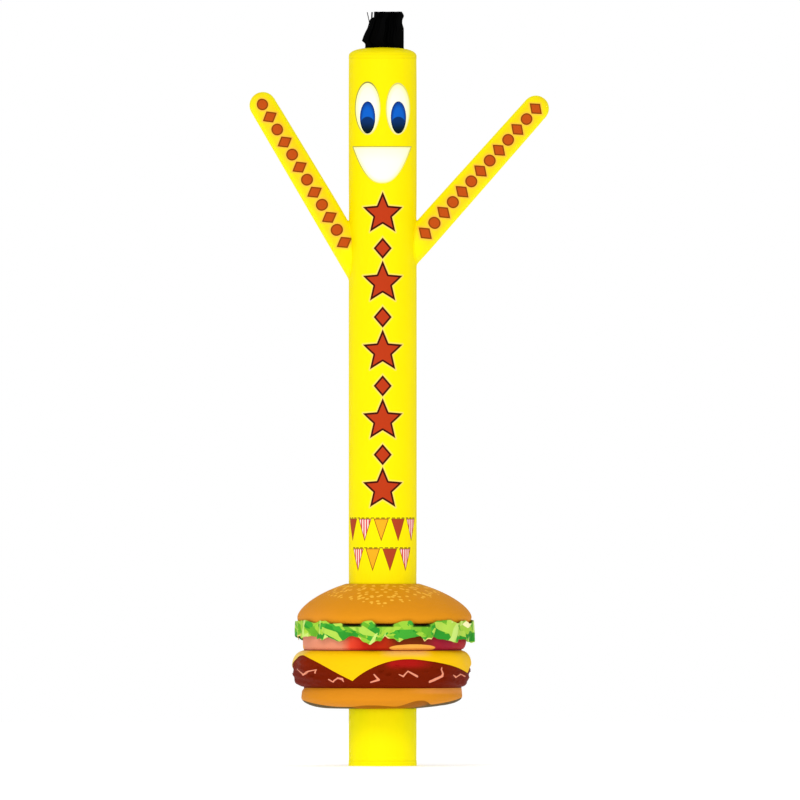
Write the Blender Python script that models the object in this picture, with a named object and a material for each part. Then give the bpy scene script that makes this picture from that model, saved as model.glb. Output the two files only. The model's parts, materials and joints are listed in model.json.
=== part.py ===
"""An inflatable air dancer with a round burger collar, as the sewn cloth it is made of.

Run it with: blender --background --python part.py
Everything is in metres with +Z up. The face looks along -Y and the arms spread along X.
Each piece that a maker would cut is one solid. It is modelled about the tube's axis, and
an empty then puts the middle of the whole dancer over the origin, with its hem at Z = 0.
"""

import math
import random
from typing import Callable, NamedTuple

import bmesh
import bpy
from mathutils import Matrix, Vector

# Cloth and seams
CLOTH = 0.002  # inflated nylon with its seams
FELLED_CLOTH = 0.003  # a slice of two layers
PATCH_CLOTH = 0.0012  # a patch of the face
SEAM_GAP = 0.0003  # between two pieces that are sewn together
DRAPE_GAP = 0.004  # between loose cloth and what it hangs over
PATCH_SEAT = 0.0007  # a flat-faced patch over a round tube

# The body tube, for the 18 inch collar of a blower
TUBE_RADIUS = 0.457 / 2
TUBE_SIDES = 36
HEM_FLARE = 0.0015
HEM_HEIGHT = 0.025
HEM_EASE = 0.045  # the height at which the flare of the hem ends
NECK_Z = 4.768  # the seam between the tube and the crown
TUBE_BAYS = 7

# The crown
CROWN_COLLAR = 0.004  # the upright edge that is sewn to the tube
CROWN_SHOULDER_WIDTH = 0.140
CROWN_SHOULDER_HEIGHT = 0.052
CROWN_RISE = 0.006
CROWN_STEPS = 4

ARM_SIDES = 18
ARM_TIP_STEPS = 4
ARM_BAYS = 3
ARM_BORE_MARGIN = 0.002  # of tube cloth inside the arm's wall, which the seam takes


class Arm(NamedTuple):
    """A tapered arm: where it leaves the tube's wall, how it leans and how far its tip is."""

    name: str
    side: int  # -1 for the arm towards -X, 1 for the arm towards +X
    wall_z: float
    lean: float  # from upright
    reach: float  # from the wall to the middle of the round tip
    root_radius: float  # at the wall
    tip_radius: float


ARMS = (
    Arm("arm_left", -1, 3.467, math.radians(30.7), 1.129, 0.1005, 0.0905),
    Arm("arm_right", 1, 3.514, math.radians(41.6), 1.206, 0.0990, 0.0885),
)


class Patch(NamedTuple):
    """A sewn patch of the face, seen from the front."""

    name: str
    middle_x: float
    half_width: float
    top_z: float
    depth: float
    seat: float  # its back, out from the tube's wall
    is_oval: bool


ON_TUBE = PATCH_SEAT
ON_EYE = PATCH_SEAT + PATCH_CLOTH + 0.0005
EYES = (
    Patch("eye_left", -0.1010, 0.0855, 4.596, 0.358, ON_TUBE, True),
    Patch("eye_right", 0.1030, 0.0810, 4.588, 0.350, ON_TUBE, True),
)
IRISES = (
    Patch("iris_left", -0.1015, 0.0510, 4.463, 0.216, ON_EYE, True),
    Patch("iris_right", 0.1060, 0.0510, 4.463, 0.216, ON_EYE, True),
)
MOUTH = Patch("mouth", -0.0045, 0.1990, 4.161, 0.248, ON_TUBE, False)
SMILE_FULLNESS = 2.35  # 2 is a parabola
OVAL_COLUMNS = 14
SMILE_COLUMNS = 20

# The burger, a ring of sewn skins around the tube; heights of its seams
BURGER_SIDES = 36
BURGER_SEAM_RADIUS = 0.530
SEAM_UPRIGHT = 0.006  # the upright edge of a band at its seam
FLANGE = 0.018  # the flat edge of a skin at its seam
BUN_BASE_Z = 0.386
PATTY_SEAM_Z = 0.5255
CHEESE_Z = 0.7730
LETTUCE_Z = 0.9480
BUN_BELLY_Z = 1.000
BUN_CREST_Z = 1.224

BURGER_LEAN = 0.012  # how far the bellies above the patty sit towards +X
PATTY_LEAN = -0.009
BUN_BOTTOM_LEAN = -0.006

BUN_TOP_RADIUS = 0.578
BUN_TOP_FULLNESS = 1.65  # 2 is an ellipse
BUN_TOP_UNDERCUT = 0.030
BUN_TOP_STEPS = 8
BUN_BOTTOM_RADIUS = 0.5415
BUN_BOTTOM_SHOULDER_INSET = 0.003
BUN_BOTTOM_SHOULDER_DROP = 0.022  # below the seam
BUN_BOTTOM_CORNER_WIDTH = 0.200
BUN_BOTTOM_CORNER_HEIGHT = 0.075

PATTY_RADIUS = 0.592
PATTY_FULLNESS = 2.6
PATTY_LUMP = 0.009
PATTY_SLANT = 0.8  # how far the lumps lean round the burger, against their height
PATTY_SIDES = 48  # the slice that hangs over it has the same steps
TOMATO_RADIUS = 0.549
TOMATO_WOBBLE = 0.003

CHEESE_INNER_RADIUS = 0.512
CHEESE_FLANGE = 0.004  # the flat edge outside the seam
CHEESE_HANG_ROWS = 5
CHEESE_SHOULDER_Z = 0.765


class SliceSide(NamedTuple):
    """A side of the square slice, with its angles in degrees counted from +X."""

    corner: float
    corner_z: float
    crest: float  # where the edge is highest
    crest_z: float
    before: float  # the power of the edge's fall from the crest back to the corner
    after: float  # the same on to the next corner


SLICE = (
    SliceSide(-110, 0.577, -70, 0.720, 2.3, 1.3),
    SliceSide(-14, 0.625, 32, 0.724, 1.8, 1.8),
    SliceSide(76, 0.600, 118, 0.722, 1.8, 1.8),
    SliceSide(162, 0.620, 205, 0.742, 1.8, 1.4),
)

LETTUCE_SIDES = 120

# The hair
HAIR_LEFT = -0.120
HAIR_RIGHT = 0.143
HAIR_STREAMERS = 11
HAIR_SLIT = 0.0015
HAIR_ROWS = 4
HAIR_ROW_PITCH = 0.017
HAIR_MARGIN = 0.006
HAIR_BACKING = 0.005
HAIR_SEAT = 0.0009  # the strip's flat cells over the round crown
HAIR_LOCK = 0.008  # the thickness of a lock of streamers
HAIR_TAPER = 0.96
HAIR_FAN = 1.1  # how far the rows spread from front to back, against their distance
HAIR_GATHER = 0.10  # how far the locks draw in towards the right
HAIR_GATHER_TURN = 2.4
HAIR_SWAY = 0.010
HAIR_SWAY_TURN = 2.6
HAIR_ROW_TURN = 60.0  # of the sway, for each metre between two rows
HAIR_SHORT = 0.209
HAIR_LONG = 0.231
HAIR_RAGGED = 0.005  # a lock's end is cut at a slant
HAIR_CURL = (0.3, 0.9)
HAIR_BENDS = 4
HAIR_SEED = 11


class Stray(NamedTuple):
    """A short lock at the left end of its row, and how far its tip falls to the side."""

    length: float
    lean: float


HAIR_STRAYS = (
    Stray(0.055, -0.042),
    Stray(0.090, -0.028),
    Stray(0.125, -0.015),
    Stray(0.160, -0.008),
)


class Finish(NamedTuple):
    """A colour as it is seen, in sRGB from 0 to 1, and a roughness."""

    red: float
    green: float
    blue: float
    roughness: float


YELLOW = Finish(0.98, 0.95, 0.02, 0.55)
GOLDEN = Finish(0.98, 0.89, 0.10, 0.55)
WHITE = Finish(0.97, 0.97, 0.95, 0.6)
BLUE = Finish(0.05, 0.33, 0.78, 0.55)
BLACK = Finish(0.015, 0.015, 0.02, 0.45)
BUN = Finish(0.91, 0.58, 0.13, 0.6)
GREEN = Finish(0.50, 0.75, 0.22, 0.6)
RED = Finish(0.78, 0.12, 0.07, 0.5)
CHEESE = Finish(1.0, 0.80, 0.04, 0.5)
BROWN = Finish(0.45, 0.14, 0.02, 0.65)


def clear_scene() -> None:
    """Take away whatever the file that this runs in holds."""
    for thing in list(bpy.data.objects):
        bpy.data.objects.remove(thing, do_unlink=True)


def linear(value: float) -> float:
    """The linear value of one sRGB channel."""
    return value / 12.92 if value <= 0.04045 else ((value + 0.055) / 1.055) ** 2.4


def cloth_material(name: str, finish: Finish) -> bpy.types.Material:
    """The cloth's material."""
    material = bpy.data.materials.new(name)
    material.use_nodes = True
    shader = material.node_tree.nodes["Principled BSDF"]
    rgb = [linear(value) for value in finish[:3]]
    shader.inputs["Base Color"].default_value = (*rgb, 1.0)
    shader.inputs["Roughness"].default_value = finish.roughness
    shader.inputs["Metallic"].default_value = 0.0
    return material


def new_piece(name: str, shape: bmesh.types.BMesh, finish: Finish) -> bpy.types.Object:
    """An object of that name from a finished shape."""
    mesh = bpy.data.meshes.new(name)
    shape.to_mesh(mesh)
    shape.free()
    mesh.shade_smooth()
    mesh.set_sharp_from_angle(angle=math.radians(40))
    mesh.materials.append(cloth_material(name + "_cloth", finish))
    piece = bpy.data.objects.new(name, mesh)
    bpy.context.scene.collection.objects.link(piece)
    return piece


def give_thickness(piece: bpy.types.Object, thickness: float, outwards: bool = False) -> None:
    """Turn a single layer into cloth, behind the layer or, if outwards, in front of it."""
    wall = piece.modifiers.new("cloth", "SOLIDIFY")
    wall.thickness = thickness
    wall.offset = 1.0 if outwards else -1.0
    wall.use_even_offset = True
    wall.use_quality_normals = True


def cut(piece: bpy.types.Object, cutter: bpy.types.Object) -> None:
    """Cut a piece with a guide that isn't part of the dancer."""
    cutter.hide_render = True
    cutter.display_type = "WIRE"
    hole = piece.modifiers.new(cutter.name, "BOOLEAN")
    hole.operation = "DIFFERENCE"
    hole.solver = "EXACT"
    hole.object = cutter


Outline = list[tuple[float, float]]


def turned(sides: int, outline_at: Callable[[float], Outline]) -> bmesh.types.BMesh:
    """One layer around the Z axis, facing out.

    Args:
        sides: the number of steps around the axis.
        outline_at: gives the layer's (radius, height) points at an angle, from its top or
            inner edge, over its outside, to its bottom edge. A radius of 0 is a pole.
    """
    layer = bmesh.new()
    angles = [math.tau * step / sides for step in range(sides)]
    poles: dict[int, bmesh.types.BMVert] = {}
    rings = []
    for angle in angles:
        ring = []
        for row, (radius, height) in enumerate(outline_at(angle)):
            place = (radius * math.cos(angle), radius * math.sin(angle), height)
            if radius > 0:
                ring.append(layer.verts.new(place))
            else:
                ring.append(poles.get(row) or poles.setdefault(row, layer.verts.new(place)))
        rings.append(ring)
    for here, there in zip(rings, rings[1:] + rings[:1]):
        for row in range(len(here) - 1):
            corners = [here[row], here[row + 1], there[row + 1], there[row]]
            layer.faces.new(list(dict.fromkeys(corners)))
    return layer


def arc(start: float, end: float, steps: int) -> list[float]:
    """Angles in even steps, both ends included."""
    return [start + (end - start) * step / steps for step in range(steps + 1)]


def half_oval(share: float) -> float:
    """The height of a half oval, where share runs from -1 to 1."""
    return math.sqrt(max(0.0, 1 - share * share))


# ---- body, crown and arms ----


def arm_place(arm: Arm) -> Matrix:
    """The place of an arm that is modelled up the Z axis from the tube's axis."""
    foot = Vector((0, 0, arm.wall_z - TUBE_RADIUS / math.tan(arm.lean)))
    return Matrix.Translation(foot) @ Matrix.Rotation(arm.side * arm.lean, 4, "Y")


def hidden_length(arm: Arm) -> float:
    """How far an arm's axis runs inside the tube."""
    return TUBE_RADIUS / math.sin(arm.lean)


def guide_cylinder(name: str, radius: float, bottom: float, top: float, sides: int) -> bpy.types.Object:
    """A closed cylinder up the Z axis, to cut with."""
    shape = bmesh.new()
    bmesh.ops.create_cone(
        shape,
        cap_ends=True,
        segments=sides,
        radius1=radius,
        radius2=radius,
        depth=top - bottom,
        matrix=Matrix.Translation((0, 0, (bottom + top) / 2)),
    )
    return new_piece(name, shape, YELLOW)


def make_tube() -> bpy.types.Object:
    """The body: hem at the floor, open at both ends, with a hole for each arm."""
    top = NECK_Z - SEAM_GAP
    bays = [(TUBE_RADIUS, z) for z in arc(top, HEM_EASE, TUBE_BAYS)]
    hem = [(TUBE_RADIUS + HEM_FLARE, HEM_HEIGHT), (TUBE_RADIUS + HEM_FLARE, 0.0)]
    tube = new_piece("body_tube", turned(TUBE_SIDES, lambda angle: bays + hem), YELLOW)
    give_thickness(tube, CLOTH)
    for arm in ARMS:
        bore = arm.root_radius - CLOTH - ARM_BORE_MARGIN
        past_wall = hidden_length(arm) + 3 * arm.root_radius
        cutter = guide_cylinder(arm.name + "_bore", bore, 0.0, past_wall, ARM_SIDES)
        cutter.matrix_world = arm_place(arm)
        cut(tube, cutter)
    return tube


def crown_outline() -> Outline:
    """The crown from its middle to its seam."""
    inner = TUBE_RADIUS - CROWN_SHOULDER_WIDTH
    spring = NECK_Z + CROWN_COLLAR
    outline = [(0.0, spring + CROWN_SHOULDER_HEIGHT + CROWN_RISE)]
    for a in arc(math.pi / 2, 0.0, CROWN_STEPS):
        radius = inner + CROWN_SHOULDER_WIDTH * math.cos(a)
        outline.append((radius, spring + CROWN_SHOULDER_HEIGHT * math.sin(a)))
    return outline + [(TUBE_RADIUS, NECK_Z)]


def crown_height(radius: float) -> float:
    """The height of the crown's cloth at a distance from the axis."""
    outline = crown_outline()
    for (r1, z1), (r2, z2) in zip(outline, outline[1:]):
        if radius <= r2:
            return z1 + (z2 - z1) * (radius - r1) / (r2 - r1)
    return NECK_Z


def make_crown() -> bpy.types.Object:
    """The round panel that closes the head."""
    outline = crown_outline()
    crown = new_piece("crown_panel", turned(TUBE_SIDES, lambda angle: outline), YELLOW)
    give_thickness(crown, CLOTH)
    return crown


def make_arm(arm: Arm, tube_guide: bpy.types.Object) -> bpy.types.Object:
    """A tapered sleeve with a round tip, trimmed where it is sewn to the tube."""
    length = hidden_length(arm) + arm.reach
    end = arm.tip_radius
    tip = [
        (end * math.cos(a) if a < math.pi / 2 else 0.0, length + end * math.sin(a))
        for a in arc(math.pi / 2, 0.0, ARM_TIP_STEPS)
    ]
    taper = (arm.root_radius - end) / arm.reach
    sleeve = [(end + taper * (length - z), z) for z in arc(length, 0.0, ARM_BAYS)[1:]]
    piece = new_piece(arm.name, turned(ARM_SIDES, lambda angle: tip + sleeve), GOLDEN)
    piece.matrix_world = arm_place(arm)
    give_thickness(piece, CLOTH)
    cut(piece, tube_guide)
    return piece


# ---- face ----


def patch_columns(patch: Patch, radius: float) -> list[float]:
    """The X of a patch's upright lines, closer together at the ends of an oval."""
    ends = [math.asin((patch.middle_x + side * patch.half_width) / radius) for side in (-1, 1)]
    middle, half = sum(ends) / 2, (ends[1] - ends[0]) / 2
    if patch.is_oval:
        shares = [-math.cos(turn) for turn in arc(0.0, math.pi, OVAL_COLUMNS)]
    else:
        shares = arc(-1.0, 1.0, SMILE_COLUMNS)
    return [radius * math.sin(middle + half * share) for share in shares]


def make_patch(patch: Patch, finish: Finish) -> bpy.types.Object:
    """A patch of cloth that lies around the tube: an oval, or a smile with a straight top."""
    radius = TUBE_RADIUS + patch.seat
    layer = bmesh.new()

    def corner(x: float, z: float) -> bmesh.types.BMVert:
        return layer.verts.new((x, -math.sqrt(radius**2 - x**2), z))

    lines = patch_columns(patch, radius)
    columns = []
    for x in lines:
        share = (x - patch.middle_x) / patch.half_width
        if patch.is_oval:
            middle_z = patch.top_z - patch.depth / 2
            half = patch.depth / 2 * half_oval(share)
            high, low = middle_z + half, middle_z - half
        else:
            high, low = patch.top_z, patch.top_z - patch.depth * (1 - abs(share) ** SMILE_FULLNESS)
        top = corner(x, high)
        columns.append((top, top if x in (lines[0], lines[-1]) else corner(x, low)))
    for (top, bottom), (next_top, next_bottom) in zip(columns, columns[1:]):
        layer.faces.new(list(dict.fromkeys([top, bottom, next_bottom, next_top])))
    piece = new_piece(patch.name, layer, finish)
    give_thickness(piece, PATCH_CLOTH, outwards=True)
    return piece


# ---- burger ----


def waves(angle: float, *terms: tuple[int, float]) -> float:
    """A smooth uneven wave from -1 to 1, of (waves around, phase) terms."""
    return sum(math.sin(count * angle + phase) for count, phase in terms) / len(terms)


def make_bun_top() -> bpy.types.Object:
    """The domed skin of the upper bun, from the tube to the seam under its rim."""
    power = 2 / BUN_TOP_FULLNESS
    under = BUN_BELLY_Z - LETTUCE_Z - SEAM_GAP

    def outline_at(angle: float) -> Outline:
        belly = BUN_TOP_RADIUS + BURGER_LEAN * math.cos(angle)
        start = math.asin(((TUBE_RADIUS + FLANGE) / belly) ** (1 / power))
        full_rise = (BUN_CREST_Z - BUN_BELLY_Z) / math.cos(start) ** power
        outline = [(TUBE_RADIUS + SEAM_GAP, BUN_CREST_Z)]
        for a in arc(start, math.pi / 2, BUN_TOP_STEPS):
            height = BUN_BELLY_Z + full_rise * max(0.0, math.cos(a)) ** power
            outline.append((belly * math.sin(a) ** power, height))
        rim = belly - BUN_TOP_UNDERCUT
        for a in arc(0.0, math.pi / 2, 3)[1:]:
            outline.append((rim + BUN_TOP_UNDERCUT * math.cos(a), BUN_BELLY_Z - under * math.sin(a)))
        return outline + [(BURGER_SEAM_RADIUS, LETTUCE_Z + SEAM_GAP)]

    piece = new_piece("bun_top", turned(BURGER_SIDES, outline_at), BUN)
    give_thickness(piece, CLOTH)
    return piece


def points(angle: float, *terms: tuple[int, float]) -> float:
    """An uneven row of points from -1 to 1, of (points around, phase) terms."""
    peaks = [math.asin(math.sin(count * angle + phase)) * 2 / math.pi for count, phase in terms]
    return sum(peaks) / len(peaks)


class FrillRow(NamedTuple):
    """A line along the frill, how far it waves, and how far round its waves have drifted."""

    radius: float
    lean: float
    height: float
    wave_out: float
    wave_up: float
    drift: float


FRILL = (
    FrillRow(0.512, 0.000, 0.9480, 0.000, 0.000, 0.00),
    FrillRow(0.535, 0.000, 0.9480, 0.000, 0.000, 0.00),
    FrillRow(0.571, 0.010, 0.9455, 0.003, 0.000, 0.00),
    FrillRow(0.590, 0.012, 0.9560, 0.009, 0.028, 0.02),
    FrillRow(0.589, 0.013, 0.9060, 0.018, 0.020, 0.06),
    FrillRow(0.588, 0.014, 0.8500, 0.024, 0.030, 0.12),
)


def frill_outline(angle: float) -> Outline:
    """The gathered frill at an angle: out under the bun, up in places, and down."""
    outline = []
    for row in FRILL:
        turn = angle + row.drift
        out = waves(turn, (19, 0.4), (12, 2.0))
        up = points(turn, (17, 1.1), (11, 0.3))
        radius = row.radius + row.lean * math.cos(angle) + row.wave_out * out
        outline.append((radius, row.height + row.wave_up * up))
    return outline


def make_lettuce() -> bpy.types.Object:
    """The green frill under the upper bun."""
    piece = new_piece("lettuce_frill", turned(LETTUCE_SIDES, frill_outline), GREEN)
    give_thickness(piece, CLOTH)
    return piece


def make_tomato() -> bpy.types.Object:
    """The red band between the frill and the cheese."""
    top = LETTUCE_Z - CLOTH - SEAM_GAP
    bottom = CHEESE_Z + FELLED_CLOTH + SEAM_GAP
    seam = BURGER_SEAM_RADIUS
    middle = (top + bottom) / 2
    half = (top - bottom) / 2 - SEAM_UPRIGHT

    def outline_at(angle: float) -> Outline:
        wobble = TOMATO_WOBBLE * waves(angle, (5, 0.7), (8, 2.1))
        belly = TOMATO_RADIUS - seam + BURGER_LEAN * math.cos(angle) + wobble
        band = [(seam + belly * half_oval(s), middle + half * s) for s in (1, 0.7, -0.7, -1)]
        return [(seam, top)] + band + [(seam, bottom)]

    piece = new_piece("tomato_band", turned(BURGER_SIDES, outline_at), RED)
    give_thickness(piece, CLOTH)
    return piece


def patty_point(angle: float, height: float) -> Vector:
    """The patty's skin at an angle and a height, as (radius, height)."""
    top = CHEESE_Z - SEAM_GAP - SEAM_UPRIGHT
    bottom = PATTY_SEAM_Z + SEAM_UPRIGHT
    share = (2 * height - top - bottom) / (top - bottom)
    fullness = max(0.0, 1 - abs(share) ** PATTY_FULLNESS) ** 0.5
    slant = PATTY_SLANT * height / PATTY_RADIUS
    lumps = waves(angle + slant, (7, 0.2), (11, 1.7)) + 0.5 * waves(angle - slant, (9, 2.9))
    belly = PATTY_RADIUS - BURGER_SEAM_RADIUS + PATTY_LEAN * math.cos(angle) + PATTY_LUMP * lumps
    return Vector((BURGER_SEAM_RADIUS + belly * fullness, height))


def make_patty() -> bpy.types.Object:
    """The lumpy brown band."""
    top = CHEESE_Z - SEAM_GAP
    middle = (top + PATTY_SEAM_Z) / 2
    half = (top - PATTY_SEAM_Z) / 2 - SEAM_UPRIGHT

    def outline_at(angle: float) -> Outline:
        shares = (1, 0.88, 0.4, -0.4, -0.88, -1)
        band = [tuple(patty_point(angle, middle + half * s)) for s in shares]
        return [(BURGER_SEAM_RADIUS, top)] + band + [(BURGER_SEAM_RADIUS, PATTY_SEAM_Z)]

    piece = new_piece("patty_band", turned(PATTY_SIDES, outline_at), BROWN)
    give_thickness(piece, CLOTH)
    return piece


def cheese_edge(angle: float) -> float:
    """The height of the slice's edge: low at its corners, and highest between them."""
    first = SLICE[0].corner
    degrees = (math.degrees(angle) - first) % 360 + first
    following = SLICE[1:] + (SLICE[0]._replace(corner=first + 360),)
    for side, next_side in zip(SLICE, following):
        if degrees <= side.crest:
            share = (side.crest - degrees) / (side.crest - side.corner)
            return side.crest_z + (side.corner_z - side.crest_z) * share**side.before
        if degrees <= next_side.corner:
            share = (degrees - side.crest) / (next_side.corner - side.crest)
            return side.crest_z + (next_side.corner_z - side.crest_z) * share**side.after
    return SLICE[0].corner_z


def over_patty(angle: float, height: float) -> tuple[float, float]:
    """The outside of loose cloth that hangs over the patty at a height."""
    step = 0.004
    skin = patty_point(angle, height)
    along = patty_point(angle, height - step) - patty_point(angle, height + step)
    outwards = Vector((-along.y, along.x)).normalized()
    return tuple(skin + outwards * (DRAPE_GAP + FELLED_CLOTH))


def cheese_outline(angle: float) -> Outline:
    """The slice at an angle: flat in the seam, then down over the patty."""
    top = CHEESE_Z + FELLED_CLOTH
    edge = cheese_edge(angle)
    drop = edge - CHEESE_SHOULDER_Z
    hang = [CHEESE_SHOULDER_Z + drop * share**1.5 for share in arc(0.0, 1.0, CHEESE_HANG_ROWS)]
    flat = [(CHEESE_INNER_RADIUS, top), (BURGER_SEAM_RADIUS + CHEESE_FLANGE, top)]
    return flat + [over_patty(angle, height) for height in hang]


def make_cheese() -> bpy.types.Object:
    """The square slice over the patty."""
    piece = new_piece("cheese_slice", turned(PATTY_SIDES, cheese_outline), CHEESE)
    give_thickness(piece, FELLED_CLOTH)
    return piece


def make_bun_bottom() -> bpy.types.Object:
    """The skin of the lower bun, from the patty's seam round to the tube."""
    top = PATTY_SEAM_Z - SEAM_GAP
    corner_z = BUN_BASE_Z + BUN_BOTTOM_CORNER_HEIGHT

    def outline_at(angle: float) -> Outline:
        belly = BUN_BOTTOM_RADIUS + BUN_BOTTOM_LEAN * math.cos(angle)
        outline = [(BURGER_SEAM_RADIUS, top), (BURGER_SEAM_RADIUS, top - SEAM_UPRIGHT)]
        outline.append((belly - BUN_BOTTOM_SHOULDER_INSET, top - BUN_BOTTOM_SHOULDER_DROP))
        for a in arc(0.0, math.pi / 2, 4):
            radius = belly - BUN_BOTTOM_CORNER_WIDTH * (1 - math.cos(a))
            outline.append((radius, corner_z - BUN_BOTTOM_CORNER_HEIGHT * math.sin(a)))
        return outline + [(TUBE_RADIUS + SEAM_GAP, BUN_BASE_Z)]

    piece = new_piece("bun_bottom", turned(BURGER_SIDES, outline_at), BUN)
    give_thickness(piece, CLOTH)
    return piece


# ---- hair ----


def hair_lines() -> tuple[list[float], list[float]]:
    """The lines along X and Y on which the backing's grid lies, with a cell a streamer."""
    pitch = (HAIR_RIGHT - HAIR_LEFT) / HAIR_STREAMERS
    along = [HAIR_LEFT - HAIR_MARGIN / 2]
    for column in range(HAIR_STREAMERS):
        along.append(HAIR_LEFT + column * pitch + HAIR_SLIT / 2)
        along.append(HAIR_LEFT + (column + 1) * pitch - HAIR_SLIT / 2)
    along.append(HAIR_RIGHT + HAIR_MARGIN / 2)
    first = -HAIR_ROW_PITCH * (HAIR_ROWS - 1) / 2
    across = [first - HAIR_MARGIN]
    for row in range(HAIR_ROWS):
        middle = first + row * HAIR_ROW_PITCH
        across += [middle - HAIR_LOCK / 2, middle + HAIR_LOCK / 2]
    across.append(-first + HAIR_MARGIN)
    return along, across


def grow_streamer(
    tuft: bmesh.types.BMesh, root: bmesh.types.BMFace, dice: random.Random, stray: Stray | None
) -> None:
    """Pull one lock up out of its cell of the backing, leaning away from the middle."""
    middle = root.calc_center_median()
    length = dice.uniform(HAIR_SHORT, HAIR_LONG)
    slant = dice.uniform(-HAIR_RAGGED, HAIR_RAGGED)
    curl = dice.uniform(*HAIR_CURL)
    lean = 0.0
    if stray:
        length, lean = stray
    reached = Vector((0, 0, 0))
    face = root
    for bend in range(1, HAIR_BENDS + 1):
        share = bend / HAIR_BENDS
        sway = HAIR_SWAY * math.sin(HAIR_SWAY_TURN * share + HAIR_ROW_TURN * middle.y) * share
        gather = HAIR_GATHER * (HAIR_RIGHT - middle.x) * math.sin(HAIR_GATHER_TURN * share)
        side = sway + gather + lean * share**2
        out = Vector((side, HAIR_FAN * middle.y * share**curl, length * share))
        face = bmesh.ops.extrude_discrete_faces(tuft, faces=[face])["faces"][0]
        bmesh.ops.translate(tuft, verts=face.verts, vec=out - reached)
        to_tip = Matrix.Translation(-face.calc_center_median())
        taper = Vector((HAIR_TAPER, HAIR_TAPER, 1.0))
        bmesh.ops.scale(tuft, verts=face.verts, vec=taper, space=to_tip)
        reached = out
    tip_x = face.calc_center_median().x
    for vert in face.verts:
        vert.co.z += math.copysign(slant, vert.co.x - tip_x)


def make_hair() -> bpy.types.Object:
    """The tuft: rows of locks that stand up out of one strip on the crown."""
    along, across = hair_lines()
    tuft = bmesh.new()

    def layer_of(lift: float) -> list[list[bmesh.types.BMVert]]:
        return [
            [tuft.verts.new((x, y, crown_height(math.hypot(x, y)) + lift)) for y in across]
            for x in along
        ]

    seat = layer_of(HAIR_SEAT)
    roof = layer_of(HAIR_SEAT + HAIR_BACKING)
    roots = []
    for i in range(len(along) - 1):
        for j in range(len(across) - 1):
            cell = [(i, j), (i + 1, j), (i + 1, j + 1), (i, j + 1)]
            tuft.faces.new([seat[a][b] for a, b in reversed(cell)])
            top = tuft.faces.new([roof[a][b] for a, b in cell])
            if i % 2 and j % 2:
                stray = HAIR_STRAYS[j // 2] if i == 1 else None
                roots.append((top, stray))
    last_i = len(along) - 1
    last_j = len(across) - 1
    rim = [(i, 0) for i in range(last_i)] + [(last_i, j) for j in range(last_j)]
    rim += [(i, last_j) for i in range(last_i, 0, -1)] + [(0, j) for j in range(last_j, 0, -1)]
    for (i, j), (k, m) in zip(rim, rim[1:] + rim[:1]):
        tuft.faces.new([seat[i][j], seat[k][m], roof[k][m], roof[i][j]])
    dice = random.Random(HAIR_SEED)
    for root, stray in roots:
        grow_streamer(tuft, root, dice, stray)
    return new_piece("hair_tuft", tuft, BLACK)


# ---- the dancer ----


def centre_on_floor(things: list[bpy.types.Object]) -> None:
    """Hang everything on an empty that puts the middle of the dancer over the origin."""
    bpy.context.view_layer.update()
    graph = bpy.context.evaluated_depsgraph_get()
    places = []
    for thing in things:
        if not thing.hide_render:
            cloth = thing.evaluated_get(graph).data
            places += [thing.matrix_world @ vert.co for vert in cloth.vertices]
    middle = [(min(p[k] for p in places) + max(p[k] for p in places)) / 2 for k in (0, 1)]
    stand = bpy.data.objects.new("dancer", None)
    bpy.context.scene.collection.objects.link(stand)
    stand.location = (-middle[0], -middle[1], 0.0)
    for thing in things:
        thing.parent = stand


def main() -> None:
    """Build the dancer."""
    clear_scene()
    clearance = TUBE_RADIUS + SEAM_GAP / math.cos(math.pi / TUBE_SIDES)
    tube_guide = guide_cylinder("tube_guide", clearance, 2.5, 4.6, TUBE_SIDES)
    make_tube()
    make_crown()
    for arm in ARMS:
        make_arm(arm, tube_guide)
    for patch in EYES:
        make_patch(patch, WHITE)
    for patch in IRISES:
        make_patch(patch, BLUE)
    make_patch(MOUTH, WHITE)
    make_bun_top()
    make_lettuce()
    make_tomato()
    make_cheese()
    make_patty()
    make_bun_bottom()
    make_hair()
    centre_on_floor(list(bpy.data.objects))


main()
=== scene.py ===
"""The looks of an inflatable air dancer that wears a round burger collar.

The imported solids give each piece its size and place. Here every piece of cloth is modelled
again with its fullness, tucks and seams, and shaders give it its dye, print and weave.
Metres, +Z up; the face looks along -Y.
"""

import json
import logging
import math
import random
from collections.abc import Callable, Iterable, Iterator, Mapping, Sequence
from contextlib import contextmanager
from dataclasses import astuple, dataclass, replace
from enum import Enum
from functools import reduce

import bpy
import numpy as np
from mathutils import Matrix, Vector

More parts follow.
